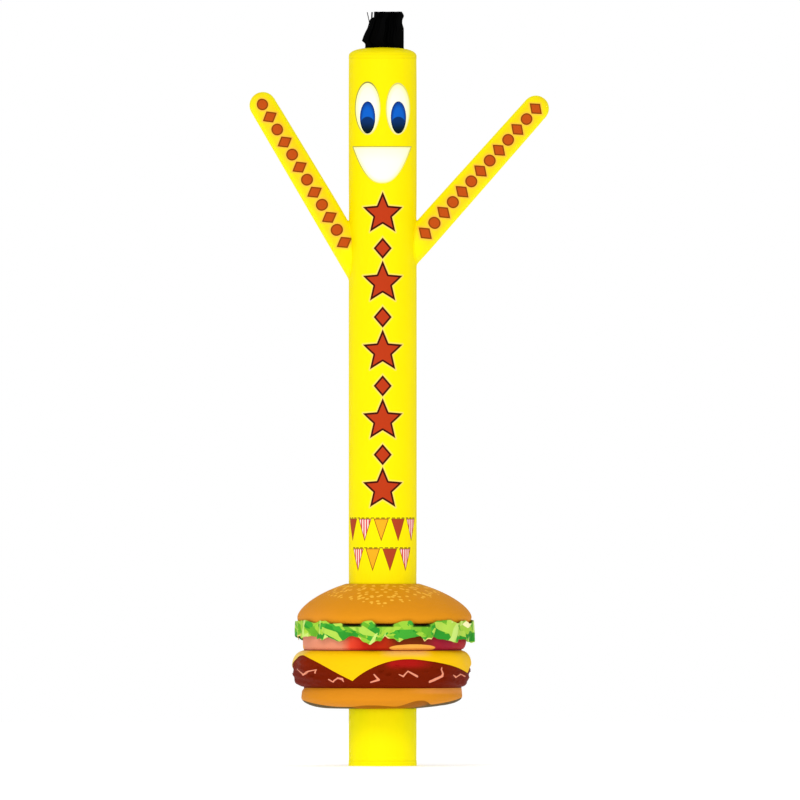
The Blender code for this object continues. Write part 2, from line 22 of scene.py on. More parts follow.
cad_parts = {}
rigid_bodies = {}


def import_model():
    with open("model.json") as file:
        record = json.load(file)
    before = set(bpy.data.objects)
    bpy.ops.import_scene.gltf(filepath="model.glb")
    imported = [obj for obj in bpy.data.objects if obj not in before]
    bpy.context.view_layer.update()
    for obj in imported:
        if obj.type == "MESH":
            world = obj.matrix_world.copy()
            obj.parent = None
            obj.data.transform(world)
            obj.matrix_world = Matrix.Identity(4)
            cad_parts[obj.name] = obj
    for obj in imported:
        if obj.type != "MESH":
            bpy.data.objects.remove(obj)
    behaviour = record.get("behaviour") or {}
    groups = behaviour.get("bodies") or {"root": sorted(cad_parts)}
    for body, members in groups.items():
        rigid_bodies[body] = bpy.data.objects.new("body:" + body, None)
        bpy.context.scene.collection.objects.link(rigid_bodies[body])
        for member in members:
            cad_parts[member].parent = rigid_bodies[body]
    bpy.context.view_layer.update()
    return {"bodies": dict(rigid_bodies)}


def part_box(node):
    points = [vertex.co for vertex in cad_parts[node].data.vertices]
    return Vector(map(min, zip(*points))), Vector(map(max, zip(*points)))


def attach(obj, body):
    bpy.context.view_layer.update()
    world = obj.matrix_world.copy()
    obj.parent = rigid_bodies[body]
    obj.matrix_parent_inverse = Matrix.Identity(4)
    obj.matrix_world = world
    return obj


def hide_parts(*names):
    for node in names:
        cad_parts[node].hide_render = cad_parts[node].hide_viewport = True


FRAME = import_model()
ROOT = next(iter(FRAME["bodies"]))
LOG = logging.getLogger("air_dancer")

# Cloth
CLOTH = 0.002
FELLED_CLOTH = 0.003
PATCH_CLOTH = 0.0012
SEAM_GAP = 0.0003
DRAPE_GAP = 0.004
MERGE = 1e-5
SHARP_ANGLE = math.radians(42)

# The body tube stands about this axis
HEM_FLARE = 0.0015
TUBE_LOW, TUBE_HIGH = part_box("body_tube")
AXIS = Vector(((TUBE_LOW.x + TUBE_HIGH.x) / 2, (TUBE_LOW.y + TUBE_HIGH.y) / 2, 0.0))
TUBE_RADIUS = (TUBE_HIGH.x - TUBE_LOW.x) / 2 - HEM_FLARE
RIGHT, FRONT, UP = Vector((1, 0, 0)), Vector((0, -1, 0)), Vector((0, 0, 1))

Piece = bpy.types.Object
Socket = bpy.types.NodeSocket
Array = np.ndarray
Pair = tuple[Array, Array]
Outline = list[tuple[float, float]]
Terms = Sequence[tuple[int, float]]
Shape = Callable[[Array, Array], Pair]


# ---- shaders ----


@dataclass(frozen=True)
class Dye:
    """A colour of cloth or ink as it is seen, in sRGB from 0 to 255."""

    red: float
    green: float
    blue: float

    @property
    def linear(self) -> tuple[float, float, float, float]:
        """The colour as a shader takes it."""
        parts = []
        for part in (self.red / 255, self.green / 255, self.blue / 255):
            parts.append(part / 12.92 if part <= 0.04045 else ((part + 0.055) / 1.055) ** 2.4)
        return (parts[0], parts[1], parts[2], 1.0)


def operator(operation: str, swapped: bool = False) -> Callable[..., "Value"]:
    """Write a method that adds one Math node.

    Args:
        operation: the node's operation.
        swapped: whether the other terms come before the value.

    Returns:
        The method.
    """

    def method(value: "Value", *others: "Value | float") -> "Value":
        """Add the node."""
        terms = (*others, value) if swapped else (value, *others)
        return value.shader.maths(operation, *terms)

    return method


class Value:
    """A number in a shader. Each of Python's operators on it adds one Math node."""

    __add__ = operator("ADD")
    __radd__ = operator("ADD", swapped=True)
    __sub__ = operator("SUBTRACT")
    __rsub__ = operator("SUBTRACT", swapped=True)
    __mul__ = operator("MULTIPLY")
    __rmul__ = operator("MULTIPLY", swapped=True)
    __truediv__ = operator("DIVIDE")
    __mod__ = operator("FLOORED_MODULO")
    __abs__ = operator("ABSOLUTE")
    __lt__ = operator("LESS_THAN")
    __gt__ = operator("GREATER_THAN")
    least = operator("MINIMUM")
    most = operator("MAXIMUM")
    floor = operator("FLOOR")
    sine = operator("SINE")
    root = operator("SQRT")
    sign = operator("SIGN")

    def __init__(self, shader: "Shader", socket: Socket) -> None:
        """Wrap an output that gives one number."""
        self.shader = shader
        self.socket = socket

    def ease(self, start: float, end: float) -> "Value":
        """Step smoothly from 0 to 1.

        Args:
            start: where the step begins.
            end: where it ends, which may be below its start.

        Returns:
            The step.
        """
        sockets = {0: self, 1: start, 2: end}
        made = self.shader.node("ShaderNodeMapRange", {"interpolation_type": "SMOOTHSTEP"}, sockets)
        return Value(self.shader, made.outputs[0])


Colour = Dye | Socket


class Shader:
    """The material of one piece, with a Principled surface."""

    def __init__(self, name: str) -> None:
        """Start a material.

        Args:
            name: its name.
        """
        self.material = bpy.data.materials.new(name)
        self.material.use_nodes = True
        self.tree = self.material.node_tree
        self.surface = self.tree.nodes["Principled BSDF"]

    def node(
        self,
        kind: str,
        settings: Mapping[str, object] | None = None,
        sockets: Mapping[str | int, object] | None = None,
    ) -> bpy.types.Node:
        """Add a node.

        Args:
            kind: the node's type.
            settings: its properties, set first; stops are a ramp's (place, colour) pairs.
            sockets: a number, colour, vector, Value or output for each named socket.

        Returns:
            The node.
        """
        made = self.tree.nodes.new(kind)
        for name, setting in (settings or {}).items():
            if name == "stops":
                self.set_stops(made.color_ramp, setting)
            else:
                setattr(made, name, setting)
        for name, wanted in (sockets or {}).items():
            self.feed(made.inputs[name], wanted)
        return made

    @staticmethod
    def set_stops(ramp: bpy.types.ColorRamp, stops: Sequence[tuple[float, Dye]]) -> None:
        """Give a ramp its stops.

        Args:
            ramp: the ramp.
            stops: their places and colours, from left to right.
        """
        for number, (place, dye) in enumerate(stops):
            stop = ramp.elements[number] if number < 2 else ramp.elements.new(place)
            stop.position = place
            stop.color = dye.linear

    def feed(self, target: Socket, wanted: object) -> None:
        """Link an output to a socket, or set the socket's own value.

        Args:
            target: the socket.
            wanted: a Value, an output, a Dye, or a plain number or vector.
        """
        if isinstance(wanted, Value):
            wanted = wanted.socket
        if isinstance(wanted, Socket):
            self.tree.links.new(wanted, target)
        elif isinstance(wanted, Dye):
            target.default_value = wanted.linear
        else:
            target.default_value = wanted

    def maths(self, operation: str, *terms: "Value | float") -> Value:
        """Add a Math node of these terms."""
        made = self.node("ShaderNodeMath", {"operation": operation}, dict(enumerate(terms)))
        return Value(self, made.outputs[0])

    def place(self) -> Socket:
        """The point on the surface, in the row's frame."""
        return self.node("ShaderNodeTexCoord").outputs["Object"]

    def along(self, origin: Vector, direction: Vector) -> Value:
        """Measure how far the surface's point lies along a direction.

        Args:
            origin: where that counts from.
            direction: the direction, a unit long.

        Returns:
            The distance.
        """
        settings, sockets = {"operation": "SUBTRACT"}, {0: self.place(), 1: tuple(origin)}
        offset = self.node("ShaderNodeVectorMath", settings, sockets).outputs[0]
        settings, sockets = {"operation": "DOT_PRODUCT"}, {0: offset, 1: tuple(direction)}
        return Value(self, self.node("ShaderNodeVectorMath", settings, sockets).outputs["Value"])

    def height(self) -> Value:
        """The height of the surface's point."""
        return self.along(AXIS, UP)

    def turn(self, origin: Vector, side: Vector) -> Value:
        """The angle about an axis, from 0 at the front, growing towards the side."""
        return self.maths("ARCTAN2", self.along(origin, side), self.along(origin, FRONT))

    def front(self) -> Value:
        """The angle about the tube's axis, from 0 at the front, growing towards +X."""
        return self.turn(AXIS, RIGHT)

    def vector(self, *parts: "Value | float") -> Socket:
        """A point of three numbers."""
        return self.node("ShaderNodeCombineXYZ", {}, dict(enumerate(parts))).outputs[0]

    def noise(self, where: Socket, scale: float, detail: float = 2.0) -> Value:
        """Smooth noise from 0 to 1."""
        sockets = {"Vector": where, "Scale": scale, "Detail": detail}
        return Value(self, self.node("ShaderNodeTexNoise", {}, sockets).outputs[0])

    def cells(self, across: Value, up: Value) -> tuple[Value, Value]:
        """Split a surface into straight-sided cells about a unit wide.

        Args:
            across: the place across, in cells.
            up: the place up, in cells.

        Returns:
            The distance from each cell's middle, and a random number from 0 to 1 for each cell.
        """
        where = self.vector(across, up, 0.0)
        settings, sockets = {"voronoi_dimensions": "2D"}, {"Vector": where, "Scale": 1.0}
        made = self.node("ShaderNodeTexVoronoi", settings, sockets)
        parts = self.node("ShaderNodeSeparateColor", {}, {0: made.outputs["Color"]})
        return Value(self, made.outputs["Distance"]), Value(self, parts.outputs[0])

    def attribute(self, name: str) -> Value:
        """A number that the piece's points carry."""
        made = self.node("ShaderNodeAttribute", {"attribute_name": name})
        return Value(self, made.outputs["Fac"])

    def mix(self, share: Value, under: Colour, over: Colour) -> Socket:
        """Lay a second colour over the first, as far as a share from 0 to 1 goes."""
        sockets = {0: share, 6: under, 7: over}
        return self.node("ShaderNodeMix", {"data_type": "RGBA"}, sockets).outputs[2]

    def layers(self, under: Colour, *layers: tuple[Value, Colour]) -> Colour:
        """Lay several colours over a first one.

        Args:
            under: the first.
            layers: how far each of the others goes, from 0 to 1, and its colour.

        Returns:
            The colour on top.
        """
        for share, over in layers:
            under = self.mix(share, under, over)
        return under

    def ramp(self, share: Value, stops: Sequence[tuple[float, Dye]]) -> Socket:
        """A colour that runs from stop to stop as a number goes from 0 to 1."""
        return self.node("ShaderNodeValToRGB", {"stops": stops}, {0: share}).outputs[0]


@dataclass(frozen=True)
class Nylon:
    """Thin coated nylon: its gloss, its weave, and the creases that it keeps from its bag."""

    roughness: float = 0.55
    uneven_gloss: float = 0.12
    specular: float = 0.05
    thread: float = 0.0016
    rip_pitch: float = 0.0065
    rip_edge: tuple[float, float] = (0.38, 0.48)
    rip_height: float = 2.0
    weave_height: float = 0.00025
    weave_strength: float = 0.5
    crease_scale: tuple[float, float, float] = (7.0, 7.0, 2.2)
    crease_detail: float = 3.0
    crease_height: float = 0.010
    crease_strength: float = 0.8
    mottle: float = 0.05
    mottle_scale: float = 3.0

    def finish(self, shader: Shader, colour: Colour) -> Shader:
        """Give a shader this cloth's surface.

        Args:
            shader: the shader.
            colour: its dye and print.

        Returns:
            The same shader.
        """
        place = shader.place()
        softness = shader.noise(place, self.mottle_scale)
        bright = 1.0 - self.mottle / 2 + self.mottle * softness
        sockets = {"Value": bright, "Color": colour}
        shade = shader.node("ShaderNodeHueSaturation", {}, sockets).outputs[0]
        surface = shader.surface
        shader.feed(surface.inputs["Base Color"], shade)
        gloss = self.roughness + self.uneven_gloss * (softness - 0.5)
        shader.feed(surface.inputs["Roughness"], gloss)
        surface.inputs["Specular IOR Level"].default_value = self.specular
        sockets = {"Vector": place, "Scale": self.crease_scale}
        stretched = shader.node("ShaderNodeMapping", {}, sockets).outputs[0]
        creases = abs(shader.noise(stretched, 1.0, self.crease_detail) - 0.5)
        sockets = {"Distance": self.crease_height, "Strength": self.crease_strength}
        folded = shader.node("ShaderNodeBump", {}, {"Height": creases, **sockets}).outputs[0]
        threads = {"Height": self.weave(shader), "Normal": folded}
        sockets = {"Distance": self.weave_height, "Strength": self.weave_strength}
        woven = shader.node("ShaderNodeBump", {}, {**threads, **sockets}).outputs[0]
        shader.feed(surface.inputs["Normal"], woven)
        return shader

    def weave(self, shader: Shader) -> Value:
        """Raise the threads, and the thicker ripstop ones among them.

        Args:
            shader: the shader.

        Returns:
            How high the cloth's face is.
        """
        turns = math.tau / self.thread
        warp = shader.along(AXIS, RIGHT) + shader.along(AXIS, -FRONT)
        weft = shader.height()
        weave = (warp * turns).sine() * (weft * turns).sine()
        for run in (warp, weft):
            ripstop = abs((run / self.rip_pitch) % 1.0 - 0.5).ease(*self.rip_edge)
            weave = weave + ripstop * self.rip_height
        return weave


PATCH_NYLON = Nylon(mottle=0.02, crease_strength=0.5)
PATTY_NYLON = Nylon(mottle=0.10, specular=0.03)
CHEESE_NYLON = Nylon(crease_strength=0.2)
STREAMER_NYLON = Nylon(roughness=0.5, specular=0.02, crease_strength=0.25)


@dataclass(frozen=True)
class Stitching:
    """A row of machine stitches in thread a little darker than the cloth."""

    thread: Dye
    stitch: float = 0.0080
    slack: float = 0.30
    width: float = 0.0024
    cover: float = 0.75

    def lay(self, along: Value, place: Value, rows: Sequence[float], under: Colour) -> Colour:
        """Sew rows.

        Args:
            along: the place along the rows.
            place: the place across them.
            rows: where they lie.
            under: the colour beneath.

        Returns:
            The colour with the rows on it.
        """
        sewn = (along / self.stitch) % 1.0 > self.slack
        for row in rows:
            line = abs(place - row) < self.width / 2
            under = place.shader.mix(sewn * line * self.cover, under, self.thread)
        return under


YELLOW_THREAD = Stitching(Dye(206, 186, 0))
BUN_THREAD = Stitching(Dye(176, 100, 24))
RED_THREAD = Stitching(Dye(96, 8, 6))


# ---- the workbench ----


class Hold(Enum):
    """What keeps a sheet of cloth in its shape."""

    STRETCHED = "stretched"
    GATHERED = "gathered"
    DRAPED = "draped"


@dataclass(frozen=True)
class Cut:
    """The size that a piece of cloth was cut to, and how it is held now."""

    width: float
    length: float
    hold: Hold
    area: float | None = None


def waves(turn: Array, terms: Terms) -> Array:
    """A smooth uneven wave from -1 to 1 round the axis, of (waves around, phase) terms."""
    return sum(np.sin(count * turn + phase) for count, phase in terms) / len(terms)


def gathers(turn: Array, terms: Terms) -> Array:
    """The same kind of wave from 0 to 1, for how much cloth is gathered round a seam."""
    return 0.5 + 0.5 * waves(turn, terms)


def angles(places: Array, centre: Vector = Vector()) -> Array:
    """The angles of some points about an upright axis, counted from +X."""
    return np.arctan2(places[:, 1] - centre.y, places[:, 0] - centre.x)


def peaks(turn: Array, terms: Terms) -> Array:
    """An uneven row of points from -1 to 1 round the axis, of (points, phase) terms."""
    rows = [np.arcsin(np.sin(count * turn + phase)) * 2 / math.pi for count, phase in terms]
    return sum(rows) / len(rows)


def arc(start: float, end: float, steps: int) -> list[float]:
    """Angles in even steps, both ends included."""
    return [start + (end - start) * step / steps for step in range(steps + 1)]


def fine(outline: Outline, step: float) -> Outline:
    """Give an outline more points.

    Args:
        outline: the outline.
        step: how far apart they may be.

    Returns:
        The same outline with points at most a step apart.
    """
    made = [outline[0]]
    for (r1, z1), (r2, z2) in zip(outline, outline[1:]):
        parts = max(1, math.ceil(math.hypot(r2 - r1, z2 - z1) / step))
        for part in range(1, parts + 1):
            share = part / parts
            made.append((r1 + (r2 - r1) * share, z1 + (z2 - z1) * share))
    return made


def tucks(distance: Array, reach: float, depth: float) -> Array:
    """How deep tucks are at a distance from the seam that makes them: none at the seam itself."""
    away = np.maximum(distance, 0.0)
    return depth * np.exp(-away / reach) * (1 - np.exp(-away / (reach / 5)))


class Bench:
    """The steps of modelling by hand that the pieces share."""

    @staticmethod
    def clear() -> None:
        """Select nothing."""
        bpy.ops.object.select_all(action="DESELECT")

    @staticmethod
    def pick(piece: Piece) -> None:
        """Select one object and nothing else.

        Args:
            piece: the object.
        """
        Bench.clear()
        piece.select_set(True)
        bpy.context.view_layer.objects.active = piece

    @staticmethod
    @contextmanager
    def editing(piece: Piece) -> Iterator[None]:
        """Work in edit mode on one object, with all of it selected.

        Args:
            piece: the object.

        Returns:
            What a with statement takes.
        """
        Bench.pick(piece)
        bpy.ops.object.mode_set(mode="EDIT")
        bpy.ops.mesh.select_mode(type="VERT")
        bpy.ops.mesh.select_all(action="SELECT")
        yield
        bpy.ops.object.mode_set(mode="OBJECT")

    @staticmethod
    def modify(piece: Piece, kind: str, **settings: object) -> None:
        """Give an object a modifier and apply it.

        Args:
            piece: the object.
            kind: the modifier's type.
            settings: its properties.
        """
        Bench.pick(piece)
        modifier = piece.modifiers.new(kind, kind)
        for name, setting in settings.items():
            setattr(modifier, name, setting)
        bpy.ops.object.modifier_apply(modifier=modifier.name)

    @staticmethod
    def turned(name: str, outline: Outline, sides: int) -> Piece:
        """Draw an outline by extruding a point, and spin it round the Z axis.

        Args:
            name: the piece's name.
            outline: (radius, height) points, from the top or inner edge.
            sides: the steps of the spin.

        Returns:
            One layer of cloth about the world's Z axis.
        """
        Bench.clear()
        bpy.ops.mesh.primitive_plane_add(size=0.01, location=(outline[0][0], 0, outline[0][1]))
        piece = bpy.context.object
        piece.name = name
        bpy.ops.object.transform_apply(location=True, rotation=False, scale=False)
        with Bench.editing(piece):
            bpy.ops.mesh.merge(type="CENTER")
            for (r1, z1), (r2, z2) in zip(outline, outline[1:]):
                step = {"value": (r2 - r1, 0, z2 - z1)}
                bpy.ops.mesh.extrude_region_move(TRANSFORM_OT_translate=step)
            bpy.ops.mesh.select_all(action="SELECT")
            bpy.ops.mesh.spin(steps=sides, angle=math.tau, center=(0, 0, 0), axis=(0, 0, 1))
            bpy.ops.mesh.select_all(action="SELECT")
            bpy.ops.mesh.remove_doubles(threshold=MERGE)
            bpy.ops.mesh.normals_make_consistent(inside=False)
        return piece

    @staticmethod
    def grid(
        name: str, columns: int, rows: int
    ) -> tuple[Piece, Array, Array]:
        """Add a flat grid.

        Args:
            name: the piece's name.
            columns: how many squares it has across.
            rows: how many it has up.

        Returns:
            The grid, and its points' places across and up it from -1 to 1.
        """
        Bench.clear()
        bpy.ops.mesh.primitive_grid_add(x_subdivisions=columns, y_subdivisions=rows, size=2.0)
        piece = bpy.context.object
        piece.name = name
        across, up = Bench.points(piece)[:, :2].T
        return piece, across, up

    @staticmethod
    def points(piece: Piece) -> Array:
        """Read a piece's points.

        Args:
            piece: the piece.

        Returns:
            Their places, one a row.
        """
        flat = np.zeros(len(piece.data.vertices) * 3)
        piece.data.vertices.foreach_get("co", flat)
        return flat.reshape(-1, 3)

    @staticmethod
    def move_to(piece: Piece, points: Array) -> None:
        """Put the piece's points in new places."""
        piece.data.vertices.foreach_set("co", points.astype(np.float32).ravel())
        piece.data.update()

    @staticmethod
    def carry(piece: Piece, name: str, numbers: Array) -> None:
        """Let each point of a piece carry a number for the shader."""
        attribute = piece.data.attributes.new(name, "FLOAT", "POINT")
        attribute.data.foreach_set("value", numbers.astype(np.float32))

    @staticmethod
    def ring(
        name: str, outline: Outline, sides: int, shape: Shape, centre: Vector = AXIS
    ) -> Piece:
        """A turned layer whose rows then follow a rule round the axis.

        Args:
            name: the piece's name.
            outline: its (radius, height) points.
            sides: the steps round the axis.
            shape: gives (radius, height) for arrays of angles and row numbers.
            centre: the axis that it is moved to.

        Returns:
            The layer, facing out, whose points carry their run down the outline.
        """
        piece = Bench.turned(name, outline, sides)
        places = Bench.points(piece)
        turn = angles(places)
        drawn = np.array(outline)
        radius = np.hypot(places[:, 0], places[:, 1])
        gaps = np.abs(radius[:, None] - drawn[:, 0]) + np.abs(places[:, 2:3] - drawn[:, 1])
        row = gaps.argmin(axis=1)
        steps = np.hypot(*np.diff(drawn, axis=0).T)
        Bench.carry(piece, "run", np.concatenate([[0.0], np.cumsum(steps)])[row])
        new_radius, height = shape(turn, row)
        new_radius = np.where(drawn[row, 0] > 0, new_radius, 0.0)
        x, y = centre.x + new_radius * np.cos(turn), centre.y + new_radius * np.sin(turn)
        Bench.move_to(piece, np.stack([x, y, height], axis=1))
        Bench.face_out(piece, centre)
        return piece

    @staticmethod
    def face_out(piece: Piece, centre: Vector) -> None:
        """Turn the faces round if the outermost one looks in.

        Args:
            piece: the piece.
            centre: where its axis is.
        """
        faces = piece.data.polygons
        outermost = max(faces, key=lambda face: (face.center - centre).to_2d().length)
        if outermost.normal.to_2d().dot((outermost.center - centre).to_2d()) < 0:
            with Bench.editing(piece):
                bpy.ops.mesh.flip_normals()

    @staticmethod
    def thicken(piece: Piece, thickness: float) -> None:
        """Give a layer its thickness, behind its face."""
        Bench.modify(piece, "SOLIDIFY", thickness=thickness, offset=-1.0, use_even_offset=True)

    @staticmethod
    def cut_away(piece: Piece, cutter: Piece) -> None:
        """Cut a piece with another shape, and take that shape away."""
        Bench.modify(piece, "BOOLEAN", operation="DIFFERENCE", solver="EXACT", object=cutter)
        bpy.data.objects.remove(cutter, do_unlink=True)

    @staticmethod
    def cylinder(
        radius: float, bottom: float, top: float, place: Matrix, sides: int
    ) -> Piece:
        """Add a closed cylinder to cut with.

        Args:
            radius: its radius.
            bottom: where it begins, up the Z axis of its place.
            top: where it ends.
            place: its place.
            sides: its steps round.

        Returns:
            The cylinder.
        """
        Bench.clear()
        bpy.ops.mesh.primitive_cylinder_add(
            vertices=sides, radius=radius, depth=top - bottom, location=(0, 0, (top + bottom) / 2)
        )
        made = bpy.context.object
        bpy.ops.object.transform_apply(location=True, rotation=False, scale=False)
        made.data.transform(place)
        return made

    @staticmethod
    def join(pieces: Sequence[Piece]) -> Piece:
        """Make several objects one.

        Args:
            pieces: the objects.

        Returns:
            The first of them, with the others in it.
        """
        Bench.clear()
        for piece in pieces:
            piece.select_set(True)
        bpy.context.view_layer.objects.active = pieces[0]
        bpy.ops.object.join()
        return pieces[0]

    @staticmethod
    def hand_over(
        piece: Piece,
        node: str,
        slot: str,
        shader: Shader,
        cut: Cut | None,
        rests_on: Sequence[str] = (),
        with_pieces: Sequence[Piece] = (),
    ) -> Piece:
        """Smooth and dress a finished piece, and put it in its solid's place.

        Args:
            piece: the piece.
            node: the solid that it stands for.
            slot: the record's material slot; not used.
            shader: its material.
            cut: its cut and hold, where it is a sheet of its own; not used.
            rests_on: the names of what carries it; not used.
            with_pieces: the separate pieces on it; not used.

        Returns:
            The same piece.
        """
        Bench.pick(piece)
        bpy.ops.object.shade_smooth_by_angle(angle=SHARP_ANGLE)
        piece.data.materials.clear()
        piece.data.materials.append(shader.material)
        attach(piece, ROOT)
        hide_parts(node)
        LOG.info("%s stands for %s with %d faces", piece.name, node, len(piece.data.polygons))
        return piece


# ---- prints ----


@dataclass(frozen=True)
class Inks:
    """The inks of an outlined print."""

    fill: Dye
    edge: Dye
    halo: Dye
    edge_width: float
    halo_width: float
    halo_cover: float = 0.75
    blur: float = 0.002

    def lay(self, outside: Value, under: Colour) -> Colour:
        """Print a shape.

        Args:
            outside: the distance outside the shape's line, negative inside it.
            under: the colour beneath.

        Returns:
            The colour with the print on it.
        """
        halo = outside.ease(self.halo_width, 0.0) * self.halo_cover
        edge = outside.ease(self.blur, -self.blur)
        fill = (outside + self.edge_width).ease(self.blur, -self.blur)
        inks = (halo, self.halo), (edge, self.edge), (fill, self.fill)
        return outside.shader.layers(under, *inks)


def star(across: Value, up: Value, radius: float, notch: float = 0.45) -> Value:
    """Draw a star of five points.

    Args:
        across: the place across the star.
        up: the place up the star.
        radius: from its middle to a point.
        notch: how slim its points are.

    Returns:
        The distance outside its line, negative inside.
    """
    lean = math.radians(36)
    x, y = abs(across), up
    for side in (1, -1):
        nx, ny = side * math.cos(lean), -math.sin(lean)
        past = (x * nx + y * ny).most(0.0) * 2.0
        x, y = x - past * nx, y - past * ny
    x, y = abs(x), y - radius
    bx, by = notch * math.sin(lean), notch * math.cos(lean) - 1.0
    share = ((x * bx + y * by) / (bx * bx + by * by)).most(0.0).least(radius)
    return rounded(x - share * bx, y - share * by) * (y * bx - x * by).sign()


def diamond(across: Value, up: Value, half_width: float, half_height: float) -> Value:
    """The distance outside a diamond, negative inside."""
    slope = half_width * half_height / math.hypot(half_width, half_height)
    return (abs(across) / half_width + abs(up) / half_height - 1.0) * slope


def stroke(across: Value, up: Value, first: Sequence[float], last: Sequence[float]) -> Value:
    """Draw a straight stroke that tapers.

    Args:
        across: the place across.
        up: the place up.
        first: the (across, up, half width) of one end.
        last: those of the other.

    Returns:
        The distance outside the stroke, negative inside it.
    """
    dx, dy = last[0] - first[0], last[1] - first[1]
    x, y = across - first[0], up - first[1]
    share = ((x * dx + y * dy) / (dx * dx + dy * dy)).most(0.0).least(1.0)
    return rounded(x - share * dx, y - share * dy) - (share * (last[2] - first[2]) + first[2])


def rounded(x: Value, y: Value) -> Value:
    """The distance from a middle."""
    return (x * x + y * y).root()


def nearest(places: Iterable[Value]) -> Value:
    """The least of several distances."""
    return reduce(Value.least, places)


def wrapped(turn: Value, span: float, middle: float = 0.0) -> Value:
    """The angle from the nearest of some middles that lie a span apart round the axis."""
    return (turn + (span / 2 - middle)) % span - span / 2


def spaced(place: Value, pitch: float, first: int, last: int) -> Value:
    """The place from the nearest of a row of marks, numbered from first to last."""
    number = (place / pitch + 0.5).floor().most(float(first)).least(float(last))
    return place - number * pitch


YELLOW = Dye(252, 233, 0)
LEMON = Dye(255, 243, 0)
GOLDEN = Dye(253, 214, 26)
BRICK_INKS = Inks(Dye(188, 58, 20), Dye(62, 10, 4), Dye(255, 214, 120), 0.013, 0.014)
ARM_INKS = Inks(Dye(190, 78, 16), Dye(134, 62, 2), Dye(248, 182, 70), 0.009, 0.018)
CHEST_STAR_RADIUS = 0.150
CHEST_PITCH = 0.462
CHEST_MIDDLE_Z = 2.784
CHEST_DIAMOND = (0.062, 0.072)


@dataclass(frozen=True)
class Bunting:
    """Two printed rows of pennants on a dashed line, low on the front."""

    top_z: float = 1.662
    rows: int = 2
    row_pitch: float = 0.200
    pennant_pitch: float = 0.118
    pennant_half: float = 0.052
    pennant_drop: float = 0.155
    stripe_pitch: float = 0.020
    line_width: float = 0.007
    line_rise: float = 0.004
    dash_pitch: float = 0.036
    dash: float = 0.68
    middle: float = -0.010
    columns: tuple[int, int] = (-2, 2)
    rust: Dye = Dye(176, 66, 34)
    amber: Dye = Dye(250, 176, 32)
    white: Dye = Dye(250, 225, 215)
    red: Dye = Dye(222, 60, 66)
    rim: Dye = Dye(150, 70, 24)
    cord: Dye = Dye(128, 118, 20)

    def lay(self, across: Value, height: Value, under: Colour) -> Colour:
        """Print the bunting.

        Args:
            across: the place round the front of the tube.
            height: the height.
            under: the colour beneath.

        Returns:
            The colour with the print on it.
        """
        for row in range(self.rows):
            place = across - (self.middle + row * self.pennant_pitch / 2)
            down = (self.top_z - row * self.row_pitch) - height
            under = self.lay_row(place, down, row, under)
        return under

    def lay_row(self, place: Value, down: Value, row: int, under: Colour) -> Colour:
        """Print one row of it.

        Args:
            place: the place along the row.
            down: the place down from its line.
            row: its number, which shifts the colours.
            under: the colour beneath.

        Returns:
            The colour with the row on it.
        """
        shader = place.shader
        first, last = self.columns[0], self.columns[1] - row
        x = spaced(place, self.pennant_pitch, first, last)
        inside = (self.pennant_half * (1.0 - down / self.pennant_drop) - abs(x)).least(down)
        odd = ((place - x) / self.pennant_pitch + (row + 0.5)).floor() % 3.0
        striped = shader.mix((x / self.stripe_pitch) % 1.0 > 0.5, self.white, self.red)
        ink = shader.layers(
            self.amber,
            ((odd - 1.0).ease(0.4, 0.6), striped),
            (abs(odd - 1.0).ease(0.6, 0.4), self.rust),
            (inside.ease(0.007, 0.005), self.rim),
        )
        from_middle = abs(place - self.pennant_pitch * (first + last) / 2)
        within = from_middle < self.pennant_pitch * (last - first + 1) / 2
        dashes = (place / self.dash_pitch) % 1.0 < self.dash
        line = (abs(down + self.line_rise) < self.line_width / 2) * within * dashes
        return shader.layers(under, (inside.ease(-0.001, 0.002), ink), (line, self.cord))


# ---- body ----


@dataclass(frozen=True)
class ArmSize:
    """A tapered arm: where it leaves the tube's wall, how it leans and how far its tip is."""

    name: str
    side: int
    wall_z: float
    lean: float
    reach: float
    root_radius: float
    tip_radius: float
    marks: int
    first_mark: float
    last_mark: float

    @property
    def direction(self) -> Vector:
        """Where the arm points."""
        return Vector((self.side * math.sin(self.lean), 0, math.cos(self.lean)))

    @property
    def hidden(self) -> float:
        """How far the arm's middle line runs inside the tube."""
        return TUBE_RADIUS / math.sin(self.lean)

    def radius_at(self, along: Array) -> Array:
        """The arm's radius at places up its middle line, counted from the tube's axis."""
        taper = (self.root_radius - self.tip_radius) / self.reach
        return self.root_radius - taper * (along - self.hidden)

    @property
    def place(self) -> Matrix:
        """The place of an arm that is modelled up the Z axis from the tube's axis."""
        foot = AXIS + Vector((0, 0, self.wall_z - TUBE_RADIUS / math.tan(self.lean)))
        return Matrix.Translation(foot) @ Matrix.Rotation(self.side * self.lean, 4, "Y")


ARMS = (
    ArmSize("arm_left", -1, 3.467, math.radians(30.7), 1.129, 0.1005, 0.0905, 12, 0.058, 1.136),
    ArmSize("arm_right", 1, 3.514, math.radians(41.6), 1.206, 0.0990, 0.0885, 13, 0.086, 1.205),
)


